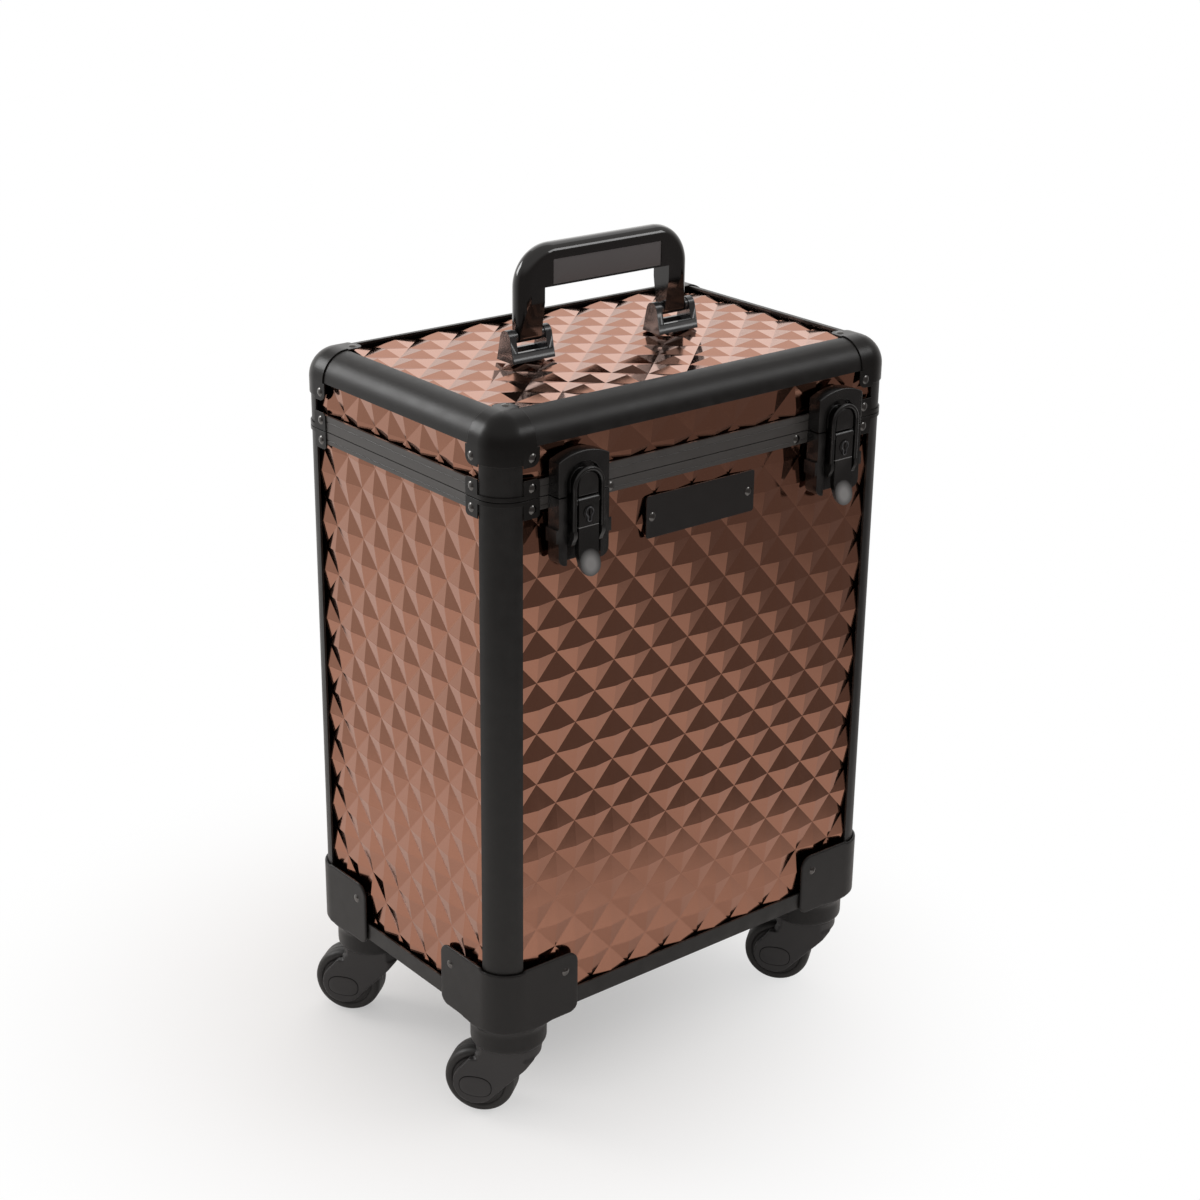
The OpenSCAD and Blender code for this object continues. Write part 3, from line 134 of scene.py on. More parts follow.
# studio
studio = {
    "floorSize": 14.0,
    "floorDown": 0.0004,                # the floor lies this far under the wheels
    "floorTone": (0.88, 0.845, 0.82),
    "cloudTone": 0.985,                 # its faint clouds have this share of the tone
    "cloudScale": 3.0,
    "cloudDetail": 4.0,
    "shadowMid": (-0.06, 0.05, 0),      # the shadow is deepest here, under the case's far left
    "floorFade": (0.0, 0.44),           # from there the floor turns to plain white
    "whiteLeast": 0.34,                 # a white glow is mixed in this far even where the shadow is deepest, painted light that lightens it
    "paperMid": (-0.30, -0.10, 0),      # glossy pieces see lit paper around this place
    "paperEnd": (0.54, 1.02),           # and this far from it the room's walls instead
    "roomLight": 0.70,
    "roomColour": (1, 0.99, 0.98),
    "backAxis": (0.25, 0.968, 0),       # level, from the dark front of the room to its pale back
    "darkSide": (0.165, 0.148, 0.142),  # what glossy pieces see in front of the case
    "paleSide": (0.98, 0.96, 0.94),     # and behind it
    "sideEnds": (-0.25, 1.0),           # where the one turns into the other along that axis
    "ceiling": (0.54, 0.52, 0.505),
    "ceilingEnds": (0.25, 0.70),        # where the walls turn into the ceiling on the way up
}
lamps = {
    "topSoftbox": {
        "place": (0.95, 1.2, 1.7), "aim": (0, 0, 0.4), "size": (1.9, 1.9), "power": 6.3,
    },
    "leftSoftbox": {
        "place": (-1.15, 1.6, 1.35), "aim": (0, 0, 0.4), "size": (0.8, 0.8), "power": 13.0,
    },
    # draws the light lines along the front edges
    "frontStrip": {
        "place": (1.35, -1.28, 1.75), "aim": (0, 0, 0.5), "size": (1.2, 0.5), "power": 6.5,
    },
}


def roomWalls(tree, direction):
    # the colour of the room's walls by direction, dark in front of the case and pale behind it
    level = addNode(tree, "ShaderNodeVectorMath", {1: (1, 1, 0)}, operation="MULTIPLY")
    unit = addNode(tree, "ShaderNodeVectorMath", operation="NORMALIZE")
    toBack = addNode(
        tree, "ShaderNodeVectorMath", {1: studio["backAxis"]}, operation="DOT_PRODUCT"
    )
    front, back = studio["sideEnds"]
    sideways = addNode(tree, "ShaderNodeMapRange", {"From Min": front, "From Max": back})
    ends = {"A": opaque(studio["darkSide"]), "B": opaque(studio["paleSide"])}
    walls = addNode(tree, "ShaderNodeMix", ends, data_type="RGBA")
    linkNodes(
        tree,
        (direction, level.inputs[0]),
        (level.outputs["Vector"], unit.inputs[0]),
        (unit.outputs["Vector"], toBack.inputs[0]),
        (toBack.outputs["Value"], sideways.inputs["Value"]),
        (sideways.outputs["Result"], walls.inputs["Factor"]),
    )
    return walls.outputs["Result"]


def glossRays(tree):
    # 1 for the rays that glossy and clear pieces send out, and the Is Camera Ray output
    rays = addNode(tree, "ShaderNodeLightPath")
    either = addNode(tree, "ShaderNodeMath", operation="MAXIMUM")
    linkNodes(
        tree,
        (rays.outputs["Is Glossy Ray"], either.inputs[0]),
        (rays.outputs["Is Transmission Ray"], either.inputs[1]),
    )
    return either.outputs["Value"], rays.outputs["Is Camera Ray"]


def easeNode(tree, ends, least=0.0):
    # goes softly from the least value to 1 between the two ends
    values = {"From Min": ends[0], "From Max": ends[1], "To Min": least}
    return addNode(tree, "ShaderNodeMapRange", values, interpolation_type="SMOOTHSTEP")


def fadeAround(tree, flat, middle, ends, least=0.0):
    # the same by the distance from a place on the floor
    moved = addNode(tree, "ShaderNodeVectorMath", {1: middle}, operation="SUBTRACT")
    length = addNode(tree, "ShaderNodeVectorMath", operation="LENGTH")
    fade = easeNode(tree, ends, least)
    linkNodes(
        tree,
        (flat, moved.inputs[0]),
        (moved.outputs["Vector"], length.inputs[0]),
        (length.outputs["Value"], fade.inputs["Value"]),
    )
    return fade.outputs["Result"]


def makeWorld():
    # evenly lit room, which glossy pieces see with its walls and ceiling, and white for the camera
    world = bpy.data.worlds.new("studioRoom")
    bpy.context.scene.world = world
    world.use_nodes = True
    tree = world.node_tree
    tree.nodes.clear()
    place = addNode(tree, "ShaderNodeTexCoord")
    walls = roomWalls(tree, place.outputs["Generated"])
    split = addNode(tree, "ShaderNodeSeparateXYZ")
    rise = easeNode(tree, studio["ceilingEnds"])
    room = addNode(tree, "ShaderNodeMix", {"B": opaque(studio["ceiling"])}, data_type="RGBA")
    seen = addNode(tree, "ShaderNodeBackground")
    light = {"Color": opaque(studio["roomColour"]), "Strength": studio["roomLight"]}
    even = addNode(tree, "ShaderNodeBackground", light)
    white = addNode(tree, "ShaderNodeBackground", {"Color": (1, 1, 1, 1)})
    gloss, direct = glossRays(tree)
    shine = addNode(tree, "ShaderNodeMixShader")
    camera = addNode(tree, "ShaderNodeMixShader")
    out = addNode(tree, "ShaderNodeOutputWorld")
    linkNodes(
        tree,
        (place.outputs["Generated"], split.inputs["Vector"]),
        (split.outputs["Z"], rise.inputs["Value"]),
        (rise.outputs["Result"], room.inputs["Factor"]),
        (walls, room.inputs["A"]),
        (room.outputs["Result"], seen.inputs["Color"]),
        (gloss, shine.inputs["Fac"]),
        (even.outputs["Background"], shine.inputs[1]),
        (seen.outputs["Background"], shine.inputs[2]),
        (direct, camera.inputs["Fac"]),
        (shine.outputs["Shader"], camera.inputs[1]),
        (white.outputs["Background"], camera.inputs[2]),
        (camera.outputs["Shader"], out.inputs["Surface"]),
    )


def makePaper():
    # floor paper that keeps the shadow near the case, lightened there by a painted glow, and turns
    # to white away from it
    paper = bpy.data.materials.new("floorPaper")
    paper.use_nodes = True
    tree = paper.node_tree
    tree.nodes.clear()
    place = addNode(tree, "ShaderNodeTexCoord")
    flat = addNode(tree, "ShaderNodeMapping", {"Scale": (1, 1, 0)})
    grain = addNode(
        tree, "ShaderNodeTexNoise", {"Scale": studio["cloudScale"], "Detail": studio["cloudDetail"]}
    )
    tones = {
        "A": opaque(studio["floorTone"]),
        "B": opaque(toned(studio["floorTone"], studio["cloudTone"])),
    }
    tone = addNode(tree, "ShaderNodeMix", tones, data_type="RGBA")
    matte = addNode(tree, "ShaderNodeBsdfDiffuse")
    glow = addNode(tree, "ShaderNodeEmission", {"Color": (1, 1, 1, 1)})
    room = addNode(tree, "ShaderNodeEmission")
    seen = addNode(tree, "ShaderNodeMixShader")
    reflected = addNode(tree, "ShaderNodeMixShader")
    kind = addNode(tree, "ShaderNodeMixShader")
    ground = flat.outputs["Vector"]
    # painted light: the floor's white glow, mixed into its shadow by the distance from the shadow's
    # middle
    toGlow = fadeAround(
        tree, ground, studio["shadowMid"], studio["floorFade"], studio["whiteLeast"]
    )
    toRoom = fadeAround(tree, ground, studio["paperMid"], studio["paperEnd"])
    gloss, _ = glossRays(tree)
    out = addNode(tree, "ShaderNodeOutputMaterial")
    linkNodes(
        tree,
        (place.outputs["Object"], flat.inputs["Vector"]),
        (place.outputs["Object"], grain.inputs["Vector"]),
        (grain.outputs["Fac"], tone.inputs["Factor"]),
        (tone.outputs["Result"], matte.inputs["Color"]),
        (toGlow, seen.inputs["Fac"]),
        (matte.outputs["BSDF"], seen.inputs[1]),
        (glow.outputs["Emission"], seen.inputs[2]),
        (roomWalls(tree, ground), room.inputs["Color"]),
        (toRoom, reflected.inputs["Fac"]),
        (matte.outputs["BSDF"], reflected.inputs[1]),
        (room.outputs["Emission"], reflected.inputs[2]),
        (gloss, kind.inputs["Fac"]),
        (seen.outputs["Shader"], kind.inputs[1]),
        (reflected.outputs["Shader"], kind.inputs[2]),
        (kind.outputs["Shader"], out.inputs["Surface"]),
    )
    return paper


def makeFloor():
    half, z = studio["floorSize"] / 2, -studio["floorDown"]
    mesh = bpy.data.meshes.new("studioFloor")
    rim = [(-half, -half, z), (half, -half, z), (half, half, z), (-half, half, z)]
    mesh.from_pydata(rim, [], [(0, 1, 2, 3)])
    mesh.materials.append(makePaper())
    floor = bpy.data.objects.new("studioFloor", mesh)
    bpy.context.scene.collection.objects.link(floor)


def makeLamp(name, place, aim, size, power):
    data = bpy.data.lights.new(name, "AREA")
    data.shape = "RECTANGLE"
    data.size, data.size_y = size
    data.energy = power
    lamp = bpy.data.objects.new(name, data)
    lamp.location = place
    lamp.rotation_euler = (Vector(aim) - Vector(place)).to_track_quat("-Z", "Y").to_euler()
    bpy.context.scene.collection.objects.link(lamp)


makeWorld()
makeFloor()
for name, lamp in lamps.items():
    makeLamp(name, **lamp)
bpy.context.scene.view_settings.view_transform = "Standard"
print("studio set")


# finishes
def startMaterial(name):
    mat = bpy.data.materials.new(name)
    mat.use_nodes = True
    tree = mat.node_tree
    place = addNode(tree, "ShaderNodeTexCoord")
    return mat, tree, tree.nodes["Principled BSDF"], place.outputs["Object"]


def addNoise(tree, where, scale, detail=3.0, stretch=(1, 1, 1)):
    mapping = addNode(tree, "ShaderNodeMapping", {"Scale": stretch})
    noise = addNode(tree, "ShaderNodeTexNoise", {"Scale": scale, "Detail": detail})
    linkNodes(
        tree,
        (where, mapping.inputs["Vector"]),
        (mapping.outputs["Vector"], noise.inputs["Vector"]),
    )
    return noise.outputs["Fac"]


def mixColours(tree, fac, first, second, socket=None):
    # each of the two is a colour or another node's output
    mix = addNode(tree, "ShaderNodeMix", data_type="RGBA")
    for key, value in (("A", first), ("B", second)):
        if isinstance(value, bpy.types.NodeSocket):
            tree.links.new(value, mix.inputs[key])
        else:
            mix.inputs[key].default_value = opaque(value)
    tree.links.new(fac, mix.inputs["Factor"])
    if socket is not None:
        tree.links.new(mix.outputs["Result"], socket)
    return mix.outputs["Result"]


def spread(tree, value, low, high, socket=None, ends=(0.3, 0.7)):
    # from low to high while the value goes from the first end to the second
    ranged = addNode(
        tree, "ShaderNodeMapRange",
        {"From Min": ends[0], "From Max": ends[1], "To Min": low, "To Max": high},
    )
    tree.links.new(value, ranged.inputs["Value"])
    if socket is not None:
        tree.links.new(ranged.outputs["Result"], socket)
    return ranged.outputs["Result"]


def addBump(tree, shader, heights):
    # heights: (value, (strength, depth in metres)), finest last
    normal = None
    for value, (strength, depth) in heights:
        bump = addNode(tree, "ShaderNodeBump", {"Strength": strength, "Distance": depth})
        tree.links.new(value, bump.inputs["Height"])
        if normal is not None:
            tree.links.new(normal, bump.inputs["Normal"])
        normal = bump.outputs["Normal"]
    tree.links.new(normal, shader.inputs["Normal"])


# the copper film over the boards; a bump is its strength and its depth in metres
filmLook = {
    "colour": (0.425, 0.208, 0.142),
    "cloudColour": (0.385, 0.184, 0.124), "cloudScale": 9.0,
    "flakeColour": (0.56, 0.34, 0.25), "flakeScale": 1400.0,
    "flakeEnds": (0.45, 0.75), "flakeMost": 0.10, "flakeBump": (0.04, 0.00004),
    "waveScale": 60.0, "waveBump": (0.12, 0.0004),
    "drawnScale": 160.0, "drawnStretch": (1, 1, 0.12), "drawnBump": (0.05, 0.0001),
    "rough": (0.08, 0.13),
}


def makeFilm():
    mat, tree, shader, where = startMaterial("copperFilm")
    cloud = addNoise(tree, where, filmLook["cloudScale"], detail=4.0)
    flakes = addNoise(tree, where, filmLook["flakeScale"], detail=2.0)
    waves = addNoise(tree, where, filmLook["waveScale"], detail=2.0)
    drawn = addNoise(tree, where, filmLook["drawnScale"], stretch=filmLook["drawnStretch"])
    base = mixColours(tree, cloud, filmLook["colour"], filmLook["cloudColour"])
    speck = spread(tree, flakes, 0.0, filmLook["flakeMost"], ends=filmLook["flakeEnds"])
    mixColours(tree, speck, base, filmLook["flakeColour"], shader.inputs["Base Color"])
    shader.inputs["Metallic"].default_value = 1.0
    spread(tree, drawn, *filmLook["rough"], shader.inputs["Roughness"])
    addBump(tree, shader, [
        (waves, filmLook["waveBump"]), (drawn, filmLook["drawnBump"]),
        (flakes, filmLook["flakeBump"]),
    ])
    return mat


# black metals and plastics. What isn't said is as in makeBlack: the grain's scale, how deep it is
# in metres and how it is drawn out, how far the edges are lightened by wear and painted highlight,
# and the coat of lacquer.
blackLooks = {
    "frameMetal": {"colour": (0.0034, 0.0028, 0.0024), "rough": 0.40, "ior": 1.44, "grain": 1100.0},
    "rimMetal": {
        "colour": (0.0330, 0.0290, 0.0262), "rough": 0.42, "ior": 1.70,
        "deep": 0.00002, "drawn": (1, 1, 0.08),
    },
    "fittingMetal": {"colour": (0.0042, 0.0036, 0.0032), "rough": 0.30, "ior": 1.38},
    "glossBlack": {
        "colour": (0.0032, 0.0028, 0.0026), "rough": 0.10, "ior": 1.55,
        "grain": 500.0, "deep": 0.00001, "rubbed": 0.08, "coat": 0.4,
    },
    "bracketBlack": {
        "colour": (0.0210, 0.0215, 0.0230), "rough": 0.22, "ior": 1.65,
        "grain": 700.0, "deep": 0.00002,
    },
    "plateBlack": {
        "colour": (0.0080, 0.0066, 0.0060), "rough": 0.34,
        "deep": 0.00002, "drawn": (1, 1, 0.05), "rubbed": 0.10,
    },
    "matteGrip": {
        "colour": (0.0820, 0.0740, 0.0735), "rough": 0.36,
        "grain": 1600.0, "deep": 0.00008, "rubbed": 0.08,
    },
    "latchMetal": {
        "colour": (0.0026, 0.0024, 0.0022), "rough": 0.24, "ior": 1.55,
        "grain": 1000.0, "deep": 0.00003,
    },
    "casterPlastic": {
        "colour": (0.0050, 0.0042, 0.0039), "rough": 0.38, "ior": 1.42,
        "grain": 1300.0, "deep": 0.00008, "rubbed": 0.10,
    },
    "forkPlastic": {
        "colour": (0.0185, 0.0165, 0.0165), "rough": 0.42,
        "grain": 1300.0, "deep": 0.00006, "rubbed": 0.15,
    },
    "grooveShade": {"colour": (0.0012, 0.0011, 0.0010), "rough": 0.70, "ior": 1.30},
    "wheelRubber": {
        "colour": (0.0130, 0.0115, 0.0108), "rough": 0.45,
        "grain": 800.0, "deep": 0.0001, "rubbed": 0.15,
    },
    "tubeMetal": {
        "colour": (0.0105, 0.0095, 0.0090), "rough": 0.30, "ior": 1.60,
        "deep": 0.00002, "drawn": (1, 1, 0.03),
    },
}
# and what all of them share
blackShared = {
    "cloudScale": 16.0, "cloudTone": 1.12,
    "rubScale": 90.0,
    # lighter colour for convex edges: rubbed wear, and partly a painted edge highlight
    "rubbedColour": (0.085, 0.078, 0.074),
    "edgeEnds": (0.53, 0.62),           # pointiness at which an edge starts to be lightened, by wear and painted highlight
    "roughSpread": (-0.025, 0.035),
    "grainBump": 0.30,
    "coatRough": 0.06,
}


def makeBlack(name, colour, rough, ior=1.5, grain=900.0, deep=0.00004, drawn=(1, 1, 1),
              rubbed=0.25, coat=0.0):
    mat, tree, shader, where = startMaterial(name)
    cloud = addNoise(tree, where, blackShared["cloudScale"], detail=4.0)
    pores = addNoise(tree, where, grain, stretch=drawn)
    rub = addNoise(tree, where, blackShared["rubScale"], detail=5.0)
    base = mixColours(tree, cloud, colour, toned(colour, blackShared["cloudTone"]))
    # paint and anodising wear first along convex edges; the lighter colour there is also a painted
    # edge highlight
    form = addNode(tree, "ShaderNodeNewGeometry")
    edges = spread(tree, form.outputs["Pointiness"], 0.0, 1.0, ends=blackShared["edgeEnds"])
    wearAndHighlightMask = addNode(tree, "ShaderNodeMath", operation="MULTIPLY")
    linkNodes(
        tree,
        (edges, wearAndHighlightMask.inputs[0]),
        (spread(tree, rub, 0.0, rubbed), wearAndHighlightMask.inputs[1]),
    )
    wearAndHighlightTone = blackShared["rubbedColour"]
    mixColours(tree, wearAndHighlightMask.outputs["Value"], base, wearAndHighlightTone, shader.inputs["Base Color"])
    shader.inputs["IOR"].default_value = ior
    shader.inputs["Coat Weight"].default_value = coat
    shader.inputs["Coat Roughness"].default_value = blackShared["coatRough"]
    low, high = (rough + step for step in blackShared["roughSpread"])
    spread(tree, rub, low, high, shader.inputs["Roughness"])
    addBump(tree, shader, [(pores, (blackShared["grainBump"], deep))])
    return mat


# latch levers: each finger tab ends in a rounded grey patch, and a painted split line crosses the
# lever under its lock: a dark line of painted shade with a light lip of painted highlight just
# under it. The split above the lock is a real step of the lever.
latchShape = {
    "patchUp": 0.0075,                  # the grey patch's middle, from the tab's end
    "patchHalf": 0.0092,                # half as wide as the patch
    "patchHigh": 0.0098,                # half as high
    "patchEnds": (0.35, 1.0),           # from its middle, where it starts to fade and is gone
    "patchColour": (0.185, 0.178, 0.174),
    "splitDown": 0.0088,                # the split line, from the lock's middle
    # the painted highlight along the split line's lip, and the painted shade of the line itself
    "lipColour": (0.120, 0.115, 0.112),
    "lineColour": (0.0008, 0.0008, 0.0008),
    "lipEnds": (-0.00060, -0.00045),    # heights from the split line, over which each part starts
    "lineEnds": (-0.00006, 0.0),
    "aboveEnds": (0.00035, 0.00045),
}


def makeLatchLever():
    mat = makeBlack("latchLever", **blackLooks["latchMetal"])
    tree = mat.node_tree
    shader = tree.nodes["Principled BSDF"]
    low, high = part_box("left_lever")
    away = abs((low.x + high.x) / 2 - caseMid.x)
    place = addNode(tree, "ShaderNodeTexCoord")
    # how far a place is from the patch's middle, 1 on its rim. The two levers mirror each other
    # about the middle of the case, so they share this.
    flow = place.outputs["Object"]
    for operation, values in (
        ("SUBTRACT", {1: (caseMid.x, 0, 0)}),
        ("ABSOLUTE", None),
        ("SUBTRACT", {1: (away, 0, low.z + latchShape["patchUp"])}),
        ("MULTIPLY", {1: (1 / latchShape["patchHalf"], 0, 1 / latchShape["patchHigh"])}),
        ("LENGTH", None),
    ):
        step = addNode(tree, "ShaderNodeVectorMath", values, operation=operation)
        tree.links.new(flow, step.inputs[0])
        flow = step.outputs["Value" if operation == "LENGTH" else "Vector"]
    patch = spread(tree, flow, 1.0, 0.0, ends=latchShape["patchEnds"])
    plain = shader.inputs["Base Color"].links[0].from_socket
    lever = mixColours(tree, patch, plain, latchShape["patchColour"])
    split = addNode(tree, "ShaderNodeSeparateXYZ")
    tree.links.new(place.outputs["Object"], split.inputs["Vector"])
    line = jointPlace["left_lock_turn"].z - latchShape["splitDown"]
    colour = lever
    # bands of painted highlight and painted shade along the split line, then the lever's own colour
    # above
    for part, tone in (
        ("lipEnds", latchShape["lipColour"]),
        ("lineEnds", latchShape["lineColour"]),
        ("aboveEnds", lever),
    ):
        ends = tuple(line + height for height in latchShape[part])
        band = spread(tree, split.outputs["Z"], 0.0, 1.0, ends=ends)
        colour = mixColours(tree, band, colour, tone)
    tree.links.new(colour, shader.inputs["Base Color"])
    return mat


liningLook = {
    "colour": (0.060, 0.055, 0.053),
    "cloudScale": 14.0, "cloudTone": 0.78,
    "fibreScale": 1500.0, "fibreTone": 1.6, "fibreMost": 0.35, "fibreBump": (0.5, 0.0002),
    "napScale": 260.0, "napBump": (0.35, 0.0004),
    "rough": (0.82, 0.96),
    "sheen": 0.35, "sheenRough": 0.5,
}


def makeLining():
    mat, tree, shader, where = startMaterial("liningCloth")
    colour = liningLook["colour"]
    cloud = addNoise(tree, where, liningLook["cloudScale"], detail=4.0)
    fibre = addNoise(tree, where, liningLook["fibreScale"])
    nap = addNoise(tree, where, liningLook["napScale"], detail=4.0)
    base = mixColours(tree, cloud, colour, toned(colour, liningLook["cloudTone"]))
    lit = spread(tree, fibre, 0.0, liningLook["fibreMost"])
    pale = toned(colour, liningLook["fibreTone"])
    mixColours(tree, lit, base, pale, shader.inputs["Base Color"])
    spread(tree, nap, *liningLook["rough"], shader.inputs["Roughness"])
    shader.inputs["Sheen Weight"].default_value = liningLook["sheen"]
    shader.inputs["Sheen Roughness"].default_value = liningLook["sheenRough"]
    addBump(tree, shader, [(nap, liningLook["napBump"]), (fibre, liningLook["fibreBump"])])
    return mat


steelLooks = {
    "rivetMetal": {"colour": (0.17, 0.165, 0.16), "rough": 0.13},
    "pinSteel": {"colour": (0.50, 0.49, 0.48), "rough": 0.26},
}
steelShared = {
    "cloudScale": 40.0, "cloudTone": 0.72, "cloudBump": (0.08, 0.0002),
    "lineScale": 700.0, "lineBump": (0.18, 0.00003),
    "roughSpread": (-0.05, 0.08),
}


def makeSteel(name, colour, rough):
    mat, tree, shader, where = startMaterial(name)
    cloud = addNoise(tree, where, steelShared["cloudScale"], detail=4.0)
    lines = addNoise(tree, where, steelShared["lineScale"])
    dull = toned(colour, steelShared["cloudTone"])
    mixColours(tree, cloud, colour, dull, shader.inputs["Base Color"])
    shader.inputs["Metallic"].default_value = 1.0
    low, high = (rough + step for step in steelShared["roughSpread"])
    spread(tree, lines, low, high, shader.inputs["Roughness"])
    addBump(tree, shader, [(cloud, steelShared["cloudBump"]), (lines, steelShared["lineBump"])])
    return mat


finishes = {name: makeBlack(name, **look) for name, look in blackLooks.items()}
finishes.update({name: makeSteel(name, **look) for name, look in steelLooks.items()})
finishes["latchLever"] = makeLatchLever()
finishes["copperFilm"] = makeFilm()
finishes["liningCloth"] = makeLining()
print("finishes made:", len(finishes))


# solids that stay as they are: the finish of each material slot
slotFinish = {
    "board_film": "copperFilm", "base_board": "casterPlastic",
    "frame_metal": "frameMetal", "fitting_metal": "fittingMetal",
    "rivet_metal": "rivetMetal", "lining_cloth": "liningCloth",
    "gloss_black": "glossBlack", "latch_metal": "latchMetal",
    "steel": "pinSteel", "caster_black": "casterPlastic",
    "wheel_rubber": "wheelRubber", "tube_metal": "tubeMetal",
}
nodeSlot = {}
for nodeName, obj in cadNodes.items():
    nodeSlot[nodeName] = obj.data.materials[0].name.split(".")[0]
for nodeName, obj in cadNodes.items():
    for i in range(len(obj.data.materials)):
        obj.data.materials[i] = finishes[slotFinish[nodeSlot[nodeName]]]
print("solids finished")


# dressed pieces: how wide each rounded edge is, in metres, and its finish
dressed = {
    "corner_posts": (0.00035, "frameMetal"), "bottom_rails": (0.00035, "frameMetal"),
    "body_rim": (0.00022, "rimMetal"), "lid_rim": (0.00022, "rimMetal"),
    "lid_rails": (0.00035, "frameMetal"), "lid_posts": (0.00035, "frameMetal"),
    "body_rim_brackets": (0.00035, "fittingMetal"), "lid_rim_brackets": (0.00035, "fittingMetal"),
    "lid_ball_corners": (0.00035, "fittingMetal"),
    "body_hinge_leaves": (0.00030, "fittingMetal"), "lid_hinge_leaves": (0.00030, "fittingMetal"),
    "name_plate": (0.00030, "plateBlack"),
    "latch_bases": (0.00075, "latchMetal"), "latch_keepers": (0.00075, "latchMetal"),
    "left_lever": (0.00022, "latchLever"), "right_lever": (0.00022, "latchLever"),
    "left_bail": (0.00040, "latchMetal"), "right_bail": (0.00040, "latchMetal"),
    "carry_handle": (0.00110, "glossBlack"),
    "handle_brackets": (0.00060, "bracketBlack"), "handle_pins": (0.00020, "bracketBlack"),
    "tube_head": (0.00090, "casterPlastic"), "tube_foot": (0.00090, "casterPlastic"),
    "pull_grip": (0.00120, "casterPlastic"), "release_button": (0.00060, "casterPlastic"),
    "outer_tubes": (0.00040, "tubeMetal"), "mid_tubes": (0.00040, "tubeMetal"),
    "inner_tubes": (0.00040, "tubeMetal"),
}
edging = {
    "weldReach": 0.000001,
    "joinedAngle": 0.7,                 # faces within so many degrees of flat are one face again
    "edgeAngle": 28.0,                  # edges sharper than so many degrees are rounded
    "edgeSteps": 2,
    "flatWeight": 60,                   # how far large faces draw the shading of their edges
}


def pieceName(nodeName):
    words = nodeName.split("_")
    return words[0] + "".join(w.capitalize() for w in words[1:]) + "Dressed"


def newObject(name, mesh):
    obj = bpy.data.objects.new(name, mesh)
    bpy.context.scene.collection.objects.link(obj)
    return obj


def smoothMesh(form, name):
    for face in form.faces:
        face.smooth = True
    mesh = bpy.data.meshes.new(name)
    form.to_mesh(mesh)
    form.free()
    return mesh


def closedMesh(form, name, sharpAngle):
    bmesh.ops.recalc_face_normals(form, faces=form.faces)
    mesh = smoothMesh(form, name)
    mesh.set_sharp_from_angle(angle=math.radians(sharpAngle))
    return mesh


def nodeForm(nodeName, name):
    # a copy of a solid, with its triangles joined to whole faces
    form = bmesh.new()
    form.from_mesh(cadNodes[nodeName].data)
    bmesh.ops.remove_doubles(form, verts=form.verts, dist=edging["weldReach"])
    flat = math.radians(edging["joinedAngle"])
    bmesh.ops.dissolve_limit(form, angle_limit=flat, verts=form.verts, edges=form.edges)
    return smoothMesh(form, name)


def bakeShape(obj):
    # the object's modifiers turned into plain mesh
    graph = bpy.context.evaluated_depsgraph_get()
    mesh = bpy.data.meshes.new_from_object(obj.evaluated_get(graph))
    obj.modifiers.clear()
    obj.data = mesh
    return obj


def roundEdges(obj, width):
    bevel = obj.modifiers.new("edges", "BEVEL")
    bevel.width = width
    bevel.segments = edging["edgeSteps"]
    bevel.limit_method = "ANGLE"
    bevel.angle_limit = math.radians(edging["edgeAngle"])
    weighted = obj.modifiers.new("shading", "WEIGHTED_NORMAL")
    weighted.weight = edging["flatWeight"]
    return bakeShape(obj)


def dress(obj, finish, nodeName):
    # the object takes the solid's place, in its own finish
    obj.data.materials.clear()
    obj.data.materials.append(finishes[finish])
    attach(obj, nodeBody[nodeName])
    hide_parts(nodeName)


for nodeName, (width, finish) in dressed.items():
    name = pieceName(nodeName)
    dress(roundEdges(newObject(name, nodeForm(nodeName, name)), width), finish, nodeName)
print("edges rounded on", len(dressed), "pieces")


# moulded pieces, whose corners all flow into each other: the voxel's size in metres, how far
# and how many times the form is smoothed, and the share of its faces that is kept
moulded = {
    "caster_housings": {"voxel": 0.0008, "flow": 0.5, "passes": 7, "share": 0.28},
    "front_left_fork": {"voxel": 0.0007, "flow": 0.5, "passes": 15, "share": 0.30},
}


def mould(obj, voxel, flow, passes, share):
    remesh = obj.modifiers.new("fine", "REMESH")
    remesh.mode = "VOXEL"
    remesh.voxel_size = voxel
    smooth = obj.modifiers.new("flow", "SMOOTH")
    smooth.factor = flow
    smooth.iterations = passes
    lighter = obj.modifiers.new("lighter", "DECIMATE")
    lighter.ratio = share
    bakeShape(obj)
    for face in obj.data.polygons:
        face.use_smooth = True


housings = newObject("casterHousingsMoulded", nodeForm("caster_housings", "casterHousingsMoulded"))
mould(housings, **moulded["caster_housings"])
dress(housings, "casterPlastic", "caster_housings")
print("housings moulded:", len(housings.data.polygons))


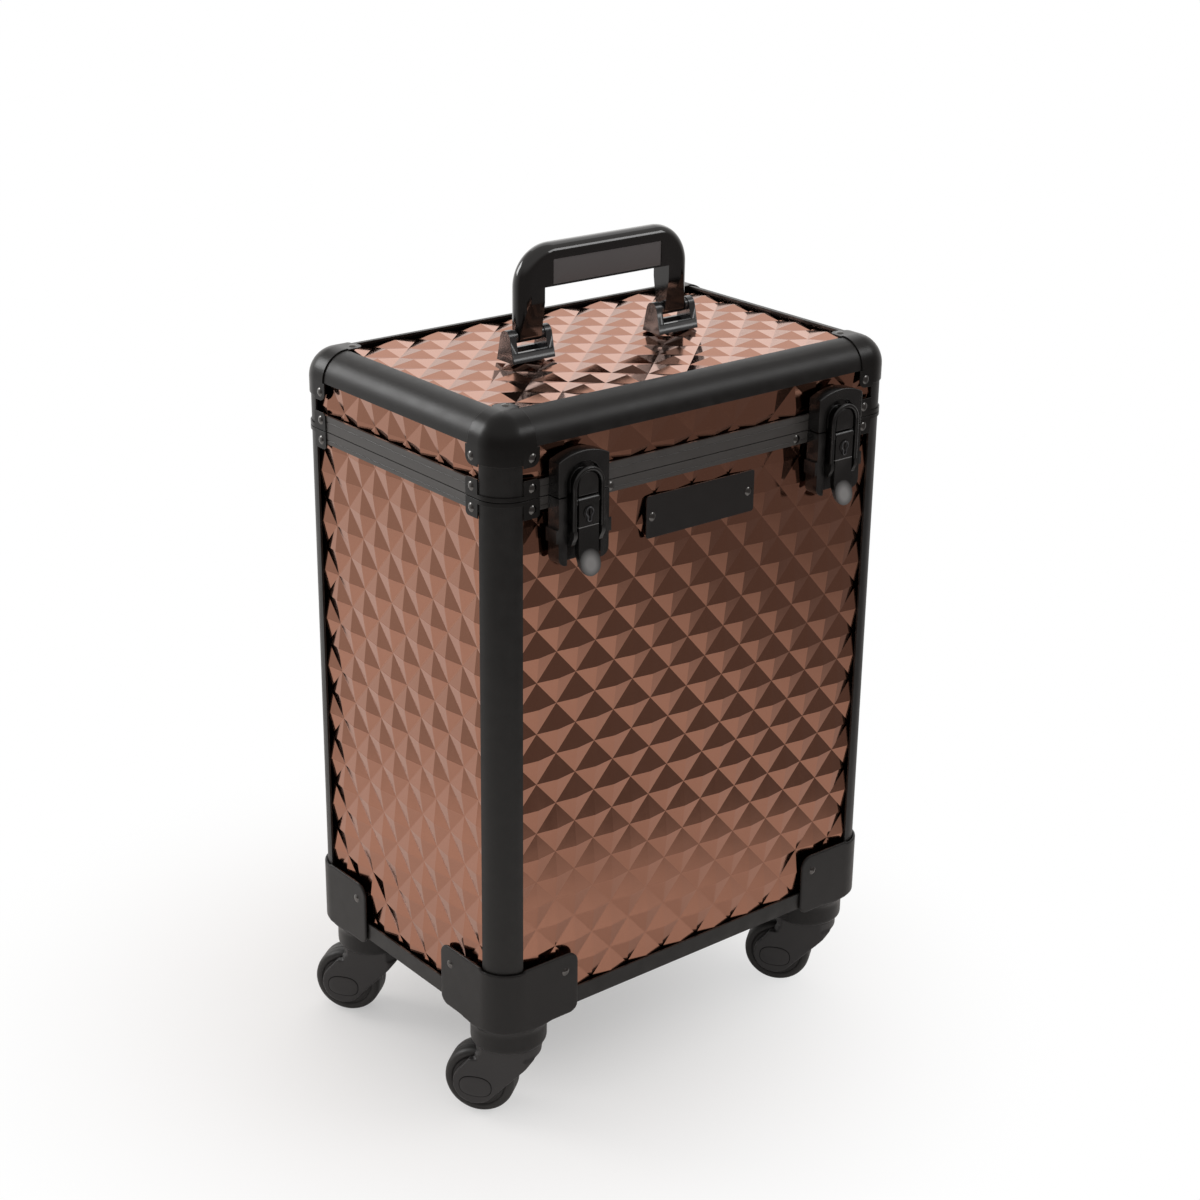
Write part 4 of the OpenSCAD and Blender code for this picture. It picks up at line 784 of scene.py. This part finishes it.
# forks, their oval caps and the wheels, made for one caster and set on all four
casterShape = {
    "cheekOut": 0.0176,                 # the fork's cheeks, from the wheel's middle
    "capLong": 0.0113,                  # half a cap's length, and half its height
    "capHigh": 0.0075,
    "capFull": 2.5,                     # 2 would be an ellipse
    "capTurns": 56,
    # from the groove's outer wall to the middle of the cap: how far past the cap's outline, how
    # far out of the cheek, and at which share of the outline
    "capRings": (
        (0.00055, -0.0002, 1.0), (0.00055, 0.00006, 1.0), (0.0, 0.00006, 1.0),
        (0.0, 0.00028, 1.0), (-0.0003, 0.0004, 1.0), (0.0, 0.0005, 0.6), (0.0, 0.00054, 0.25),
    ),
    "capSharp": 50,
    # radius and distance from the middle, from the bore's edge over the face to the tread
    "wheelProfile": (
        (0.0045, 0.0098), (0.0140, 0.0098), (0.0146, 0.0103), (0.0168, 0.0104), (0.0174, 0.0099),
        (0.0186, 0.0099), (0.0192, 0.0106), (0.0208, 0.0109), (0.0224, 0.0106), (0.0237, 0.0096),
        (0.0245, 0.0082), (0.0249, 0.0066), (0.0250, 0.0045), (0.0250, 0.0033), (0.0247, 0.0030),
        (0.0247, 0.0026), (0.0250, 0.0023), (0.0250, 0.0),
    ),
    "wheelTurns": 72,
    "wheelSharp": 40,
}
firstSwivel = jointPlace["front_left_swivel"]
firstAxle = jointPlace["front_left_roll"]
axleAxis = jointAxis["front_left_roll"].normalized()
trailAxis = Vector((0, 0, 1)).cross(axleAxis).normalized()


def flattenCheeks(mesh):
    # the caps are pieces of their own, so the moulded fork ends at its cheeks
    limit = casterShape["cheekOut"]
    for vertex in mesh.vertices:
        out = (vertex.co - firstAxle).dot(axleAxis)
        if abs(out) > limit:
            vertex.co -= axleAxis * (out - math.copysign(limit, out))


def makeCap(name, side):
    turns = casterShape["capTurns"]
    power = 2 / casterShape["capFull"]
    form = bmesh.new()
    loops = []
    for extra, lift, share in casterShape["capRings"]:
        outward = axleAxis * side * (casterShape["cheekOut"] + lift)
        loop = []
        for k in range(turns):
            angle = 2 * math.pi * k / turns
            c, s = math.cos(angle), math.sin(angle)
            x = math.copysign(abs(c) ** power, c) * (casterShape["capLong"] + extra) * share
            z = math.copysign(abs(s) ** power, s) * (casterShape["capHigh"] + extra) * share
            loop.append(form.verts.new(firstAxle + trailAxis * x + Vector((0, 0, z)) + outward))
        loops.append(loop)
    for first, second in zip(loops, loops[1:]):
        for k in range(turns):
            after = (k + 1) % turns
            form.faces.new((first[k], first[after], second[after], second[k]))
    form.faces.new(loops[-1])
    form.faces.new(loops[0])
    groove = set(loops[1])
    for face in form.faces:
        face.material_index = 0 if groove.isdisjoint(face.verts) else 1
    mesh = closedMesh(form, name, casterShape["capSharp"])
    mesh.materials.append(finishes["forkPlastic"])
    mesh.materials.append(finishes["grooveShade"])
    return mesh


def makeWheel(name):
    turns = casterShape["wheelTurns"]
    half = list(casterShape["wheelProfile"])
    profile = half + [(r, -w) for r, w in reversed(half[:-1])]
    count = len(profile)
    form = bmesh.new()
    rings = []
    for k in range(turns):
        angle = 2 * math.pi * k / turns
        spoke = trailAxis * math.cos(angle) + Vector((0, 0, math.sin(angle)))
        rings.append([form.verts.new(firstAxle + spoke * r + axleAxis * w) for r, w in profile])
    for k in range(turns):
        here, after = rings[k], rings[(k + 1) % turns]
        for j in range(count):
            form.faces.new((here[j], after[j], after[(j + 1) % count], here[(j + 1) % count]))
    return closedMesh(form, name, casterShape["wheelSharp"])


forkForm = newObject("frontLeftForkMoulded", nodeForm("front_left_fork", "forkMoulded"))
mould(forkForm, **moulded["front_left_fork"])
flattenCheeks(forkForm.data)
capForms = {"Inner": makeCap("casterCap", -1), "Outer": makeCap("casterCap", 1)}
wheelForm = makeWheel("casterWheel")
for corner in corners:
    shift = jointPlace[corner + "_swivel"] - firstSwivel
    end, side = corner.split("_")
    tag = end + side.capitalize()
    fork = forkForm
    if corner != "front_left":
        fork = newObject(tag + "ForkMoulded", forkForm.data)
    fork.location = shift
    dress(fork, "forkPlastic", corner + "_fork")
    for cheek, mesh in capForms.items():
        cap = newObject(tag + "Cap" + cheek, mesh)
        cap.location = shift
        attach(cap, nodeBody[corner + "_fork"])
    wheel = newObject(tag + "WheelDressed", wheelForm)
    wheel.location = shift
    dress(wheel, "wheelRubber", corner + "_wheel")
print("casters dressed:", len(forkForm.data.polygons), "faces a fork")


# handle pads: domed from edge to edge, so that a shaded groove runs round them
padShape = {
    "thick": 0.0006,
    "dome": 0.00050,                    # how far the edges lie under the middle
    "endPower": 12.0,                   # the higher, the later the pad falls off to its ends
    "columns": 60,
    "rows": 16,
    "sharp": 40,
}


def padSpread(count):
    # places from -1 to 1, closer together towards both edges
    return [math.sin(math.pi * (k / count - 0.5)) for k in range(count + 1)]


def makePads(name):
    low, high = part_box("handle_inserts")
    middle, half = (low + high) / 2, (high - low) / 2
    thick = padShape["thick"]
    form = bmesh.new()
    for out, inner in ((low.y, low.y + thick), (high.y, high.y - thick)):
        inward = math.copysign(1.0, inner - out)
        lines = []
        for v in padSpread(padShape["rows"]):
            line = []
            for u in padSpread(padShape["columns"]):
                drop = padShape["dome"] * max(v * v, abs(u) ** padShape["endPower"])
                place = (middle.x + u * half.x, out + inward * drop, middle.z + v * half.z)
                line.append(form.verts.new(place))
            lines.append(line)
        for near, far in zip(lines, lines[1:]):
            for k in range(padShape["columns"]):
                form.faces.new((near[k], near[k + 1], far[k + 1], far[k]))
        border = lines[0] + [line[-1] for line in lines[1:]]
        border += lines[-1][-2::-1] + [line[0] for line in lines[-2:0:-1]]
        foot = [form.verts.new((vert.co.x, inner, vert.co.z)) for vert in border]
        for k in range(len(border)):
            after = (k + 1) % len(border)
            form.faces.new((border[k], foot[k], foot[after], border[after]))
        form.faces.new(foot)
    return closedMesh(form, name, padShape["sharp"])


padName = pieceName("handle_inserts")
dress(newObject(padName, makePads(padName)), "matteGrip", "handle_inserts")
print("handle pads made")


# lock plugs with a raised keyhole
lockShape = {
    "plugEdge": 0.00030,
    "rimWire": 0.00050,                 # the keyhole's raised line is a wire of this radius
    "wireSteps": 3,
    "rimOut": 0.0002,                   # and its middle lies this far before the plug
    "eyeRadius": 0.0029,
    "eyeUp": 0.0005,
    "eyeOpen": 64,                      # degrees of the eye that are left open for the tail
    "eyeSteps": 24,
    "tailHalf": 0.0014,
    "tailDown": 0.0058,
    # half widths and depths of the tail, as shares of the two above
    "tailLine": (
        (-1.0, -0.55), (-0.95, -0.85), (-0.5, -1.0), (0.5, -1.0), (0.95, -0.85), (1.0, -0.55),
    ),
}


def keyholeLine(middle):
    # a round eye over a narrowing tail, as one closed line on the plug's face
    eye = middle + Vector((0, 0, lockShape["eyeUp"]))
    r, gap, steps = lockShape["eyeRadius"], lockShape["eyeOpen"], lockShape["eyeSteps"]
    points = []
    for k in range(steps + 1):
        angle = math.radians(gap / 2 - 90 + k * (360 - gap) / steps)
        points.append(eye + Vector((r * math.cos(angle), 0, r * math.sin(angle))))
    half, down = lockShape["tailHalf"], lockShape["tailDown"]
    for x, z in lockShape["tailLine"]:
        points.append(middle + Vector((x * half, 0, z * down)))
    return points


def wireMesh(name, points):
    line = bpy.data.curves.new(name, "CURVE")
    line.dimensions = "3D"
    line.bevel_depth = lockShape["rimWire"]
    line.bevel_resolution = lockShape["wireSteps"]
    spline = line.splines.new("POLY")
    spline.points.add(len(points) - 1)
    for point, place in zip(spline.points, points):
        point.co = (*place, 1)
    spline.use_cyclic_u = True
    helper = bpy.data.objects.new(name, line)
    mesh = bpy.data.meshes.new_from_object(helper)
    bpy.data.objects.remove(helper)
    for face in mesh.polygons:
        face.use_smooth = True
    return mesh


for side in ("left", "right"):
    nodeName = side + "_lock"
    plug = newObject(side + "LockDressed", nodeForm(nodeName, nodeName))
    dress(roundEdges(plug, lockShape["plugEdge"]), "latchMetal", nodeName)
    middle = jointPlace[side + "_lock_turn"].copy()
    middle.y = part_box(nodeName)[0].y - lockShape["rimOut"]
    rimName = side + "KeyholeRim"
    rim = newObject(rimName, wireMesh(rimName, keyholeLine(middle)))
    # the raised keyhole takes the lighter, glossier bracket finish: real gloss, and a lighter
    # colour that is partly a painted highlight
    rim.data.materials.append(finishes["bracketBlack"])
    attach(rim, nodeBody[nodeName])
print("locks dressed")


print("case done")
